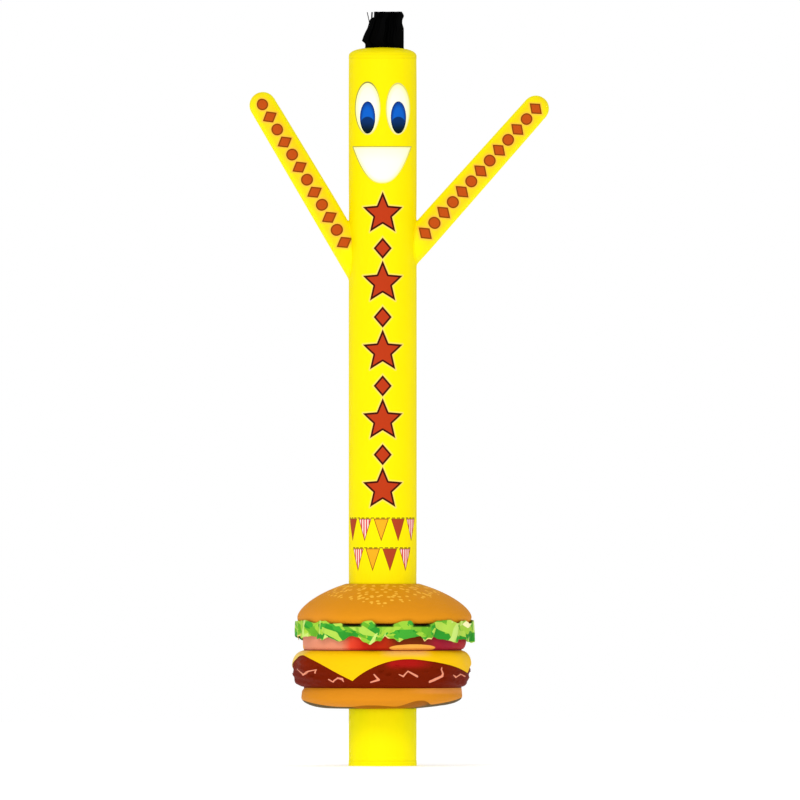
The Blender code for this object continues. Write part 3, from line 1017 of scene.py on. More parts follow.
@dataclass
class Body:
    """The long tube and the panel that closes its head."""

    sides: int = 96
    row: float = 0.024
    tuck_depth: float = 0.007
    tuck_reach: float = 0.065
    bore_margin: float = 0.004
    crown_shoulder_width: float = 0.140
    crown_shoulder_height: float = 0.052
    crown_rise: float = 0.006
    crown_collar: float = 0.004
    gathers: Terms = ((23, 0.0), (37, 1.0), (11, 2.0))
    crown_tuck_depth: float = 0.005
    crown_tuck_reach: float = 0.040
    arm_tuck_depth: float = 0.007
    arm_tuck_reach: float = 0.045
    arm_gathers: Terms = ((13, 0.5), (9, 2.0))
    hem_seam_z: float = 0.012
    hem_heights: tuple[float, ...] = (0.036, 0.018, 0.0)
    hem_top_z: float = 0.040
    stitch_rows: tuple[float, ...] = (0.014, 0.033, 0.382, 1.229, 4.752, 4.760)
    back_rows: tuple[float, ...] = (-0.010, -0.004)

    def tube_shape(self, outline: Outline) -> Shape:
        """Write the tube's rule: tucks that run in from its seams.

        Args:
            outline: the tube's outline.

        Returns:
            The rule.
        """
        drawn = np.array(outline)
        seams = (TUBE_HIGH.z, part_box("bun_top")[1].z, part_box("bun_bottom")[0].z)

        def shape(turn: Array, row: Array) -> Pair:
            """Draw the wall in near the seams."""
            radius, height = drawn[row].T
            near = [np.abs(height - seam) for seam in seams] + [height - self.hem_seam_z]
            deep = sum(tucks(away, self.tuck_reach, self.tuck_depth) for away in near)
            inwards = deep * gathers(turn, self.gathers)
            for arm in ARMS:
                inwards = inwards + self.arm_tucks(arm, turn, height)
            return radius - inwards, height

        return shape

    def arm_tucks(self, arm: ArmSize, turn: Array, height: Array) -> Array:
        """Find the tucks that an arm's seam draws into the tube's wall.

        Args:
            arm: the arm.
            turn: angles about the tube's axis.
            height: heights.

        Returns:
            How far in the wall is drawn there.
        """
        wall = np.stack([TUBE_RADIUS * np.cos(turn), TUBE_RADIUS * np.sin(turn), height], axis=1)
        offset = wall - np.array(arm.place.translation - AXIS)
        along = offset @ np.array(arm.direction)
        out = offset - along[:, None] * np.array(arm.direction)
        away = np.linalg.norm(out, axis=1) - arm.root_radius
        gather = gathers(np.arctan2(out[:, 1], out[:, 2]), self.arm_gathers)
        near_side = (along > 0) * (np.cos(turn) * arm.side > 0)
        return tucks(away, self.arm_tuck_reach, self.arm_tuck_depth) * gather * near_side

    def build(self) -> None:
        """Make the tube."""
        top = TUBE_HIGH.z
        outline = fine([(TUBE_RADIUS, top), (TUBE_RADIUS, self.hem_top_z + 0.005)], self.row)
        outline.append((TUBE_RADIUS, self.hem_top_z))
        outline += [(TUBE_RADIUS + HEM_FLARE, height) for height in self.hem_heights]
        tube = Bench.ring("tube_cloth", outline, self.sides, self.tube_shape(outline))
        Bench.thicken(tube, CLOTH)
        for arm in ARMS:
            past_wall = arm.hidden + 3 * arm.root_radius
            bore = Bench.cylinder(arm.root_radius - self.bore_margin, 0.0, past_wall, arm.place, 48)
            Bench.cut_away(tube, bore)
        cut = Cut(math.tau * TUBE_RADIUS + 0.024, top + 0.06, Hold.STRETCHED)
        Bench.hand_over(tube, "body_tube", "yellow_nylon", self.tube_shader(), cut)

    def crown_outline(self) -> Outline:
        """Draw the crown.

        Returns:
            Its outline from its middle to its seam.
        """
        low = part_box("crown_panel")[0].z
        inner = TUBE_RADIUS - self.crown_shoulder_width
        spring = low + self.crown_collar
        outline = [(0.0, spring + self.crown_shoulder_height + self.crown_rise)]
        for a in arc(math.pi / 2, 0.0, 12):
            radius = inner + self.crown_shoulder_width * math.cos(a)
            outline.append((radius, spring + self.crown_shoulder_height * math.sin(a)))
        return fine(outline + [(TUBE_RADIUS, low)], 0.014)

    def build_crown(self, with_pieces: Sequence[Piece]) -> None:
        """Make the crown's panel.

        Args:
            with_pieces: what is sewn on it.
        """
        outline = self.crown_outline()
        drawn = np.array(outline)

        def shape(turn: Array, row: Array) -> Pair:
            """Draw the panel in near its seam."""
            away = TUBE_RADIUS - drawn[row, 0] + drawn[row, 1] - drawn[-1, 1]
            deep = tucks(away, self.crown_tuck_reach, self.crown_tuck_depth)
            inwards = deep * gathers(turn, self.gathers)
            return drawn[row, 0] - inwards, drawn[row, 1] - inwards * 0.6

        crown = Bench.ring("crown_cloth", outline, self.sides, shape)
        Bench.thicken(crown, CLOTH)
        across = 2 * TUBE_RADIUS + 0.06
        cut = Cut(across, across, Hold.STRETCHED, 0.78 * across * across)
        shader = Shader("crown_dye")
        along, run = shader.front() * TUBE_RADIUS, shader.attribute("run")
        rim = float(np.hypot(*np.diff(drawn, axis=0).T).sum())
        Nylon().finish(shader, YELLOW_THREAD.lay(along, run, [rim - 0.009], YELLOW))
        under = ["tube_cloth"]
        Bench.hand_over(crown, "crown_panel", "yellow_nylon", shader, cut, under, with_pieces)

    def tube_shader(self) -> Shader:
        """Dress the tube in yellow, with its column of stars, its bunting, and painted light on its
        foot.

        Returns:
            Its shader.
        """
        shader = Shader("tube_dye")
        front, height = shader.front(), shader.height()
        across = front * TUBE_RADIUS
        up = height - CHEST_MIDDLE_Z
        stars = star(across, spaced(up, CHEST_PITCH, -2, 2), CHEST_STAR_RADIUS)
        between = spaced(up - CHEST_PITCH / 2, CHEST_PITCH, -2, 1)
        marks = stars.least(diamond(across, between, *CHEST_DIAMOND))
        # Painted light: below the collar the foot is a lighter lemon, to offset the collar's
        # shadow.
        colour = shader.mix(height.ease(0.40, 0.37), YELLOW, LEMON)
        colour = BRICK_INKS.lay(marks, colour)
        colour = Bunting().lay(across, height, colour)
        colour = YELLOW_THREAD.lay(across, height, self.stitch_rows, colour)
        back = (abs(front) - math.pi) * TUBE_RADIUS
        colour = YELLOW_THREAD.lay(height, back, self.back_rows, colour)
        colour = shader.mix(abs(back).ease(0.0018, 0.0008) * 0.5, colour, YELLOW_THREAD.thread)
        return Nylon().finish(shader, colour)


@dataclass
class Arms:
    """The two raised arms."""

    sides: int = 64
    row: float = 0.020
    tip_steps: int = 12
    welt: float = 0.0030
    diamond: tuple[float, float] = (0.058, 0.044)
    disc: float = 0.040
    root_tucks: tuple[float, float] = (0.050, 0.008)
    tip_tucks: tuple[float, float] = (0.030, 0.004)
    gathers: Terms = ((9, 0.3), (13, 1.2), (5, 2.0))
    band: tuple[float, float] = (0.096, 0.046)
    stitch_rows: tuple[float, float] = (0.010, 0.016)

    def build(self, size: ArmSize) -> None:
        """Make one arm.

        Args:
            size: its sizes.
        """
        length = size.hidden + size.reach
        end = size.tip_radius
        tip = [
            (end * math.cos(a) if a < math.pi / 2 else 0.0, length + end * math.sin(a))
            for a in arc(math.pi / 2, 0.0, self.tip_steps)
        ]
        outline = tip + fine([(end, length), (float(size.radius_at(0.0)), 0.0)], self.row)[1:]
        drawn = np.array(outline)

        def shape(turn: Array, row: Array) -> Pair:
            """Draw the sleeve in near its root and its tip's seam."""
            radius, height = drawn[row].T
            root = tucks(height - self.seam_height(size, turn), *self.root_tucks)
            top = tucks(np.abs(height - length), *self.tip_tucks)
            gather = gathers(turn, self.gathers) * radius / size.root_radius
            return radius - (root + top) * gather, height

        sleeve = Bench.ring(f"{size.name}_cloth", outline, self.sides, shape, Vector((0, 0, 0)))
        places = Bench.points(sleeve)
        turn = angles(places)
        Bench.carry(sleeve, "from_seam", places[:, 2] - self.seam_height(size, turn))
        Bench.thicken(sleeve, CLOTH)
        sleeve.data.transform(size.place)
        clearance = TUBE_RADIUS + SEAM_GAP
        guide = Bench.cylinder(clearance, 2.5, 4.6, Matrix.Translation(AXIS), 96)
        Bench.cut_away(sleeve, guide)
        arm = Bench.join([sleeve, self.make_welt(size)])
        cut = Cut(math.tau * size.root_radius + 0.02, size.reach + 0.30, Hold.STRETCHED)
        shader = self.shader(size)
        Bench.hand_over(arm, size.name, "golden_nylon", shader, cut, ["tube_cloth"])

    @staticmethod
    def seam_height(size: ArmSize, turn: Array) -> Array:
        """Find the seam that joins an arm to the tube.

        Args:
            size: the arm's sizes.
            turn: angles about the arm.

        Returns:
            How far along the arm the seam lies there.
        """
        seam = np.full_like(turn, size.hidden)
        for _ in range(3):
            radius = size.radius_at(seam)
            out = size.side * np.cos(turn) * math.cos(size.lean) * radius
            back = np.sin(turn) * radius
            seam = (np.sqrt(TUBE_RADIUS**2 - back**2) - out) / math.sin(size.lean)
        return seam

    def make_welt(self, size: ArmSize) -> Piece:
        """Make the rounded seam that joins an arm to the tube.

        Args:
            size: the arm's sizes.

        Returns:
            The seam.
        """
        Bench.clear()
        bpy.ops.mesh.primitive_torus_add(
            major_radius=size.root_radius,
            minor_radius=self.welt,
            major_segments=96,
            minor_segments=8,
        )
        welt = bpy.context.object
        places = Bench.points(welt)
        turn = angles(places)
        seam = self.seam_height(size, turn)
        slimmer = size.radius_at(seam) - size.root_radius
        places[:, 0] += slimmer * np.cos(turn)
        places[:, 1] += slimmer * np.sin(turn)
        places[:, 2] += seam + self.welt * 0.6
        Bench.move_to(welt, places)
        welt.data.transform(size.place)
        return welt

    def shader(self, size: ArmSize) -> Shader:
        """Dress an arm in golden yellow, with a row of small marks along its front.

        Args:
            size: the arm's sizes.

        Returns:
            Its shader.
        """
        shader = Shader(f"{size.name}_dye")
        start = AXIS + Vector((size.side * TUBE_RADIUS, 0, size.wall_z))
        side = Vector((math.cos(size.lean), 0, -size.side * math.sin(size.lean)))
        along, front = shader.along(start, size.direction), shader.turn(start, side)
        across = front * size.tip_radius
        pitch = (size.last_mark - size.first_mark) / (size.marks - 1)
        place = along - size.first_mark
        last_diamond, last_disc = (size.marks - 1) // 2, (size.marks - 2) // 2
        diamonds = diamond(across, spaced(place, pitch * 2, 0, last_diamond), *self.diamond)
        discs = rounded(across, spaced(place - pitch, pitch * 2, 0, last_disc)) - self.disc
        tip = along.ease(size.reach - 0.06, size.reach + 0.05)
        band = abs(across).ease(*self.band) * along.ease(-0.05, 0.12) * (1.0 - tip * 0.5)
        colour = ARM_INKS.lay(diamonds.least(discs), shader.mix(band, LEMON, GOLDEN))
        from_seam = shader.attribute("from_seam")
        colour = YELLOW_THREAD.lay(across, from_seam, self.stitch_rows, colour)
        underside = abs(front).ease(3.10, 3.13) * 0.4
        return Nylon().finish(shader, shader.mix(underside, colour, YELLOW_THREAD.thread))


# ---- face ----


class Cutting(Enum):
    """The outlines of the face's patches."""

    OVAL = "oval"
    SMILE = "smile"


@dataclass(frozen=True)
class Patch:
    """A sewn patch of the face, seen from the front, about the tube's axis."""

    node: str
    slot: str
    cutting: Cutting
    middle_x: float
    half_width: float
    top_z: float
    depth: float
    seat: float
    stitch: float = 0.8

    @property
    def middle_z(self) -> float:
        """The height of its middle."""
        return self.top_z - self.depth / 2


EYE_SEAT = 0.0007
IRIS_SEAT = EYE_SEAT + PATCH_CLOTH + 0.0005
PATCHES = (
    Patch("eye_left", "white_nylon", Cutting.OVAL, -0.1010, 0.0855, 4.596, 0.358, EYE_SEAT),
    Patch("eye_right", "white_nylon", Cutting.OVAL, 0.1030, 0.0810, 4.588, 0.350, EYE_SEAT, 0.35),
    Patch("iris_left", "blue_nylon", Cutting.OVAL, -0.1015, 0.0510, 4.463, 0.216, IRIS_SEAT),
    Patch("iris_right", "blue_nylon", Cutting.OVAL, 0.1060, 0.0510, 4.463, 0.216, IRIS_SEAT),
    Patch("mouth", "white_nylon", Cutting.SMILE, -0.0045, 0.1990, 4.161, 0.248, EYE_SEAT, 0.7),
)


EYE_WHITE, EYE_CREAM, EYE_GLOW = Dye(255, 255, 236), Dye(255, 254, 194), Dye(250, 240, 110)
OLIVE = Dye(92, 86, 0)
IRIS_BLUE, IRIS_RIM, IRIS_LINE = Dye(12, 96, 200), Dye(8, 56, 140), Dye(4, 16, 30)
PUPIL_TOP, PUPIL_LOW = Dye(6, 48, 104), Dye(2, 24, 28)


@dataclass
class Face:
    """The patches of the face."""

    grid: int = 40
    smile_fullness: float = 2.35
    border: float = 0.0052
    soft_border: float = 0.0090
    pupil_z: float = 0.050
    pupil_half_width: float = 0.052
    pupil_half_height: float = 0.064
    trim: float = 1.06

    def build(self, patch: Patch) -> None:
        """Make one patch from a grid that is drawn into its outline and laid round the tube.

        Args:
            patch: its sizes.
        """
        piece, u, v = Bench.grid(f"{patch.node}_cloth", self.grid, self.grid)
        if patch.cutting is Cutting.OVAL:
            sideways = u * np.sqrt(1 - v * v / 2)
            upwards = v * np.sqrt(1 - u * u / 2)
            inside = 1 - np.hypot(sideways, upwards)
            z = patch.middle_z + upwards * patch.depth / 2
            inside = inside * patch.half_width
        else:
            sideways = u
            full = self.smile_fullness
            lip = patch.depth * (1 - np.abs(u) ** full)
            drop = lip * (1 - v) / 2
            z = patch.top_z - drop
            slope = full * np.abs(u) ** (full - 1) * patch.depth / patch.half_width
            inside = np.minimum(drop, (lip - drop) / np.hypot(1.0, slope))
        x = patch.middle_x + sideways * patch.half_width
        radius = TUBE_RADIUS + patch.seat + PATCH_CLOTH
        y = -np.sqrt(radius**2 - x**2)
        Bench.move_to(piece, np.stack([AXIS.x + x, AXIS.y + y, z], axis=1))
        Bench.carry(piece, "inside", inside)
        with Bench.editing(piece):
            bpy.ops.mesh.remove_doubles(threshold=MERGE)
        Bench.face_out(piece, AXIS)
        Bench.thicken(piece, PATCH_CLOTH)
        share = 0.785 if patch.cutting is Cutting.OVAL else 0.667
        width, length = 2 * self.trim * patch.half_width, patch.depth
        cut = Cut(width, length, Hold.STRETCHED, share * width * length)
        eye = patch.node.replace("iris", "eye")
        under = "tube_cloth" if patch.seat == EYE_SEAT else f"{eye}_cloth"
        shader = self.iris_shader(patch) if "iris" in patch.node else self.white_shader(patch)
        Bench.hand_over(piece, patch.node, patch.slot, shader, cut, [under])

    def white_shader(self, patch: Patch) -> Shader:
        """Dress a white patch, with olive satin stitch that is boldest above and to the left.

        Args:
            patch: its sizes.

        Returns:
            Its shader.
        """
        shader = Shader(f"{patch.node}_dye")
        inside = shader.attribute("inside")
        middle = AXIS + Vector((patch.middle_x, 0, patch.middle_z))
        side = shader.along(middle, RIGHT) / patch.half_width
        up = shader.along(middle, UP) / (patch.depth / 2)
        bold = (up * 0.7 - side * 0.7).ease(-0.9, 0.5) * 0.75 + 0.25
        line = inside.ease(self.border, self.border - 0.0015) * bold * patch.stitch
        colour = shader.layers(
            EYE_WHITE,
            (inside.ease(0.034, 0.006).most(up.ease(0.1, 1.0) * 0.5), EYE_CREAM),
            (inside.ease(self.soft_border, self.border) * 0.6, EYE_GLOW),
            (line, OLIVE),
        )
        return PATCH_NYLON.finish(shader, colour)

    def iris_shader(self, patch: Patch) -> Shader:
        """Dress an iris in blue, with a printed navy pupil in its lower half.

        Args:
            patch: its sizes.

        Returns:
            Its shader.
        """
        shader = Shader(f"{patch.node}_dye")
        inside = shader.attribute("inside")
        lowest = AXIS + Vector((patch.middle_x, 0, patch.top_z - patch.depth))
        height = shader.along(lowest, UP)
        across = shader.along(lowest, RIGHT) / self.pupil_half_width
        pupil = rounded(across, (height - self.pupil_z) / self.pupil_half_height)
        colour = shader.layers(
            IRIS_BLUE,
            (inside.ease(0.024, 0.0), IRIS_RIM),
            (pupil.ease(1.04, 0.94), shader.mix(height.ease(0.095, 0.015), PUPIL_TOP, PUPIL_LOW)),
            (inside.ease(0.0075, 0.002) * (0.30 + 0.65 * height.ease(0.100, 0.030)), IRIS_LINE),
        )
        return PATCH_NYLON.finish(shader, colour)


# ---- burger ----


@dataclass(frozen=True)
class FrillRow:
    """A line along the frill, how far it waves, and how far round its waves have drifted."""

    radius: float
    lean: float
    height: float
    wave_out: float
    drift: float


FRILL = (
    FrillRow(0.512, 0.000, 0.9480, 0.000, 0.00),
    FrillRow(0.535, 0.000, 0.9480, 0.000, 0.00),
    FrillRow(0.574, 0.010, 0.9455, 0.002, 0.00),
    FrillRow(0.596, 0.012, 0.9600, 0.006, 0.02),
    FrillRow(0.592, 0.013, 0.9060, 0.016, 0.06),
    FrillRow(0.588, 0.014, 0.8500, 0.024, 0.12),
)
# The rows where the frill turns out from its seam, and where it turns down
FRILL_NECK, FRILL_TIP = 2, 3
# Where the frill's two edges turn, in degrees from the front, and how high they are there
LEAF_TIPS = (
    (-172, 0.978), (-160, 0.950), (-149, 0.976), (-137, 0.948), (-122, 0.980), (-108, 0.952),
    (-92, 0.972), (-75, 0.975), (-60, 0.981), (-52, 0.960), (-47, 0.976), (-41, 0.979),
    (-36, 0.958), (-28, 0.961), (-23, 0.943), (-16, 0.943), (-12.5, 0.976), (-7, 0.981),
    (-3, 0.944), (5.5, 0.944), (11, 0.973), (18.5, 0.981), (21.5, 0.945), (29, 0.944),
    (37.5, 0.977), (49, 0.984), (55, 0.958), (59, 0.973), (67, 0.979), (75, 0.954), (85, 0.972),
    (99, 0.981), (114, 0.947), (128, 0.976), (143, 0.950), (158, 0.980), (176, 0.946),
)
LEAF_EDGE = (
    (-166, 0.838), (-158, 0.872), (-150, 0.826), (-139, 0.876), (-131, 0.834), (-122, 0.870),
    (-112, 0.830), (-100, 0.874), (-91, 0.846), (-75, 0.888), (-66, 0.862), (-58, 0.876),
    (-44, 0.850), (-38, 0.866), (-30, 0.836), (-20, 0.880), (-8, 0.816), (-4, 0.846),
    (-1, 0.842), (1.5, 0.873), (11, 0.840), (17, 0.862), (25, 0.874), (28, 0.842), (36, 0.866),
    (43, 0.852), (54, 0.827), (64, 0.856), (72, 0.836), (85, 0.830), (96, 0.874), (109, 0.832),
    (120, 0.868), (133, 0.828), (145, 0.874), (157, 0.836), (176, 0.872),
)
# Dark lobes on the frill's front: (side, height, half width, half height), and again on its back
LOBES = (
    (-0.497, 0.951, 0.024, 0.022), (-0.437, 0.873, 0.037, 0.022), (-0.386, 0.944, 0.046, 0.022),
    (-0.281, 0.876, 0.124, 0.036), (-0.330, 0.915, 0.040, 0.030), (-0.068, 0.912, 0.044, 0.052),
    (0.159, 0.873, 0.114, 0.036), (0.193, 0.964, 0.026, 0.020), (0.369, 0.910, 0.046, 0.044),
    (0.462, 0.960, 0.026, 0.026), (0.451, 0.860, 0.097, 0.030), (0.580, 0.862, 0.026, 0.034),
)
# Shadows between the frill's tips on its front: (angle, half width), and again on its back
FRILL_SHADOWS = ((-0.36, 0.10), (0.02, 0.09), (0.45, 0.09))


@dataclass(frozen=True)
class Facets:
    """Slim cells of another green: how they lean, how many a metre, their odds and their dye."""

    lean: float
    thin: float
    odds: float
    dye: Dye


EARLY_FACETS = (
    Facets(0.60, 17.0, 0.60, Dye(166, 210, 64)),
    Facets(-0.80, 20.0, 0.70, Dye(104, 178, 44)),
)
LATE_FACETS = (
    Facets(-0.45, 23.0, 0.84, Dye(178, 216, 80)),
    Facets(1.10, 30.0, 0.92, Dye(200, 230, 120)),
)
LEAF, LIGHT_LEAF = Dye(128, 190, 50), Dye(152, 204, 58)
DARK_LEAF, MID_LEAF = Dye(48, 150, 44), Dye(66, 168, 50)
LEAF_CREAM, LEAF_SHADE, LEAF_EDGING = Dye(255, 250, 190), Dye(26, 60, 10), Dye(240, 216, 124)

# Zigzag flecks on the patty's front: (side, height, half width) points, and again on its back
FLECKS = (
    (
        (-0.567, 0.650, 0.003), (-0.528, 0.614, 0.006), (-0.486, 0.638, 0.004),
        (-0.440, 0.649, 0.003), (-0.449, 0.627, 0.004),
    ),
    (
        (-0.361, 0.584, 0.004), (-0.337, 0.567, 0.004), (-0.304, 0.594, 0.005),
        (-0.271, 0.587, 0.007), (-0.266, 0.570, 0.003),
    ),
    ((-0.058, 0.618, 0.004), (-0.026, 0.583, 0.007), (-0.082, 0.566, 0.004)),
    (
        (0.110, 0.618, 0.003), (0.138, 0.605, 0.005), (0.169, 0.640, 0.004),
        (0.240, 0.605, 0.007),
    ),
    ((0.397, 0.663, 0.003), (0.401, 0.605, 0.007), (0.331, 0.570, 0.009)),
    (
        (0.476, 0.612, 0.003), (0.503, 0.597, 0.005), (0.533, 0.618, 0.004),
        (0.562, 0.603, 0.004),
    ),
)
PATTY_DYES = ((0.0, Dye(112, 24, 0)), (1.0, Dye(120, 28, 0)))
# The first is painted light on the patty's upper left.
PATTY_PAINTED_LIGHT, PATTY_GLOW, FLECK = Dye(164, 44, 6), Dye(172, 22, 18), Dye(240, 152, 120)

# The band's reds from its left side (0) round to its right (1): a painted highlight on the left and
# painted shade right of the front, with other reds between.
TOMATO_REDS_AND_PAINTED_LIGHT = (
    (0.0, Dye(236, 152, 122)),
    (0.24, Dye(234, 146, 112)),
    (0.30, Dye(230, 72, 46)),
    (0.38, Dye(200, 36, 20)),
    (0.52, Dye(178, 42, 12)),
    (0.59, Dye(126, 44, 8)),
    (0.73, Dye(116, 46, 6)),
    (0.82, Dye(160, 30, 48)),
    (0.90, Dye(168, 30, 56)),
    (1.0, Dye(182, 30, 30)),
)
# The second is painted shade along the tomato band's lower edge.
TOMATO_OVAL, TOMATO_PAINTED_SHADE = Dye(252, 176, 72), Dye(112, 14, 10)

# The second is a painted highlight on the slice's left side.
CHEESE, CHEESE_PAINTED_HIGHLIGHT, CHEESE_PEACH = Dye(253, 199, 4), Dye(255, 226, 140), Dye(253, 192, 92)
BUN_DYES = ((0.0, Dye(214, 154, 8)), (0.16, Dye(224, 149, 18)), (1.0, Dye(223, 143, 22)))
# The last of these is painted shade on the upper bun's lowest rim.
BUN_PINK, SESAME, BUN_PAINTED_SHADE = Dye(240, 150, 84), Dye(255, 194, 66), Dye(70, 26, 8)
BASE, BASE_PINK = Dye(219, 139, 26), Dye(242, 158, 90)
# Painted shade on the lower bun's underside, darker on its flanks.
UNDERSIDE_SHADE, DEEP_UNDERSIDE_SHADE = Dye(160, 92, 4), Dye(84, 64, 0)

BUN_CUT = Cut(1.40, 1.40, Hold.STRETCHED, 1.55)
LETTUCE_CUT = Cut(4.6, 0.19, Hold.GATHERED)
TOMATO_CUT = Cut(3.46, 0.215, Hold.STRETCHED)
CHEESE_CUT = Cut(1.16, 1.16, Hold.DRAPED, 0.48)
PATTY_CUT = Cut(3.8, 0.30, Hold.STRETCHED)
BASE_CUT = Cut(1.30, 1.30, Hold.STRETCHED, 1.20)


@dataclass(frozen=True)
class SliceSide:
    """A side of the square slice, with its angles in degrees counted from +X."""

    corner: float
    corner_z: float
    crest: float
    crest_z: float
    before: float
    after: float


SLICE = (
    SliceSide(-110, 0.577, -70, 0.720, 2.3, 1.3),
    SliceSide(-14, 0.625, 32, 0.724, 1.8, 1.8),
    SliceSide(76, 0.600, 118, 0.722, 1.8, 1.8),
    SliceSide(162, 0.620, 205, 0.742, 1.8, 1.4),
)


@dataclass
class Burger:
    """The round collar of sewn skins about the foot of the tube."""

    sides: int = 144
    fine_sides: int = 288
    frill_sides: int = 480
    seam_radius: float = 0.530
    seam_upright: float = 0.006
    stitch_rows: tuple[float, float] = (0.010, 0.016)
    gathers: Terms = ((31, 0.4), (47, 1.9), (17, 0.8))
    fold: float = 0.009
    fold_reach: float = 0.034
    flange: float = 0.018
    belly_z: float = 1.000
    fullness: float = 1.60
    fuller: float = 0.008
    undercut: float = 0.030
    burger_lean: float = 0.012
    seeds_a_metre: float = 19.5
    seed_squash: float = 1.45
    sown_reach: float = 0.360
    sown_slant: float = 0.30
    frill_radius: float = 0.59
    frill_waves: Terms = ((19, 0.4), (12, 2.0))
    frill_crinkles: Terms = ((43, 0.9), (57, 2.2))
    frill_jags: Terms = ((47, 0.3), (61, 1.9))
    tip_jag: float = 0.003
    edge_jag: float = 0.007
    tomato_radius: float = 0.549
    tomato_wobble: float = 0.003
    tomato_tuck: float = 0.0016
    oval_turn: float = 0.393
    oval_z: float = 0.7957
    oval_half_turn: float = 0.31
    oval_half_height: float = 0.0243
    cheese_shoulder_z: float = 0.765
    cheese_radii: tuple[float, ...] = (0.512, 0.523, 0.534)
    cheese_rows: int = 14
    patty_radius: float = 0.592
    patty_lean: float = -0.009
    patty_lump: float = 0.009
    patty_fullness: float = 2.6
    patty_slant: float = 0.8
    patty_crag: float = 0.0055
    base_lean: float = -0.006
    base_lift: float = 0.017
    base_shoulder: float = 0.022
    base_corner_width: float = 0.200
    base_corner_height: float = 0.075
    # The height of the line below which the lower bun gets painted shade.
    underside_shade_z: float = 0.399

    def __post_init__(self) -> None:
        """Read the heights of the seams from the frame."""
        low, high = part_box("bun_top")
        self.bun_low, self.bun_high = low.z, high.z
        self.bun_radius = (high.x - low.x) / 2 + self.fuller
        self.patty_low, self.patty_high = (corner.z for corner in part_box("patty_band"))
        self.tomato_low, self.tomato_high = (corner.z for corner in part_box("tomato_band"))
        self.cheese_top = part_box("cheese_slice")[1].z
        low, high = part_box("bun_bottom")
        self.base_low, self.base_high = low.z, high.z
        self.base_radius = (high.x - low.x) / 2

    def skin(self, outline: Outline, seams: Sequence[int], lean: float) -> Shape:
        """Write a rule that keeps an outline, fuller on one side, with tucks at some of its rows.

        Args:
            outline: the outline.
            seams: the rows that are drawn up.
            lean: how much further out it reaches on the +X side.

        Returns:
            The rule.
        """
        drawn = np.array(outline)
        run = np.concatenate([[0.0], np.cumsum(np.hypot(*np.diff(drawn, axis=0).T))])
        widest = int(drawn[:, 0].argmax())
        inner = np.where(np.arange(len(drawn)) <= widest, drawn[0, 0], drawn[-1, 0])
        reach = (drawn[:, 0] - inner) / (drawn[widest, 0] - inner)

        def shape(turn: Array, row: Array) -> Pair:
            """Follow the rule."""
            near = [np.abs(run[row] - run[seam]) for seam in seams]
            deep = sum(tucks(away, self.fold_reach, self.fold) for away in near)
            radius = drawn[row, 0] + reach[row] * lean * np.cos(turn)
            return radius - deep * gathers(turn, self.gathers), drawn[row, 1]

        return shape

    def top_bun_outline(self) -> Outline:
        """Draw the upper bun.

        Returns:
            Its outline from the tube to the seam under its rim.
        """
        power = 2 / self.fullness
        start = math.asin(((TUBE_RADIUS + self.flange) / self.bun_radius) ** (1 / power))
        full_rise = (self.bun_high - self.belly_z) / math.cos(start) ** power
        outline = [(TUBE_RADIUS + SEAM_GAP, self.bun_high)]
        for a in arc(start, math.pi / 2, 24):
            height = self.belly_z + full_rise * max(0.0, math.cos(a)) ** power
            outline.append((self.bun_radius * math.sin(a) ** power, height))
        rim = self.bun_radius - self.undercut
        under = self.belly_z - self.bun_low
        for a in arc(0.0, math.pi / 2, 8)[1:]:
            outline.append((rim + self.undercut * math.cos(a), self.belly_z - under * math.sin(a)))
        return outline + [(self.seam_radius, self.bun_low)]

    def build_top_bun(self) -> None:
        """Make the upper bun."""
        outline = self.top_bun_outline()
        rule = self.skin(outline, (0, len(outline) - 1), self.burger_lean)
        piece = Bench.ring("bun_top_cloth", outline, self.sides, rule)
        Bench.thicken(piece, CLOTH)
        shader = self.top_bun_shader()
        Bench.hand_over(piece, "bun_top", "bun_nylon", shader, BUN_CUT, ["tube_cloth"])

    def top_bun_shader(self) -> Shader:
        """Dress the upper bun: toasted, with seeds sown over its dome and painted shade on its
        lower rim.

        Returns:
            Its shader.
        """
        shader = Shader("bun_top_dye")
        height, run, turn = shader.height(), shader.attribute("run"), shader.front()
        out = run + TUBE_RADIUS
        side, back = turn.sine() * out, (turn + math.pi / 2).sine() * out
        across, up = side * self.seeds_a_metre, back * self.seeds_a_metre * self.seed_squash
        away, luck = shader.cells(across, up)
        down = run + abs(side) * self.sown_slant
        bare = down.ease(self.sown_reach - 0.03, self.sown_reach) + abs(side).ease(0.37, 0.41)
        seeds = (away + bare * 0.3).ease(0.33, 0.21) * (luck > 0.22)
        pink = (turn - 0.2).sine().ease(-0.55, -1.0) * height.ease(1.11, 1.00)
        toasted = shader.ramp(run.ease(0.0, 0.42), BUN_DYES)
        colour = shader.layers(toasted, (pink * 0.15, BUN_PINK), (seeds * 0.9, SESAME))
        colour = BUN_THREAD.lay(turn * out, run, self.stitch_rows, colour)
        # Painted shade: dark brown on the bun's lowest rim, just above the frill.
        colour = shader.mix(height.ease(0.964, 0.956), colour, BUN_PAINTED_SHADE)
        return Nylon().finish(shader, colour)

    def leaf_lines(self, turn: Array) -> Pair:
        """Follow the frill's two edges.

        Args:
            turn: angles about the axis.

        Returns:
            The heights of its upper and lower edges there.
        """
        front = np.degrees(turn) + 90.0
        tip = np.interp(front, *np.array(LEAF_TIPS).T, period=360.0)
        edge = np.interp(front, *np.array(LEAF_EDGE).T, period=360.0)
        jags = peaks(turn, self.frill_jags)
        return tip + self.tip_jag * jags, edge + self.edge_jag * jags

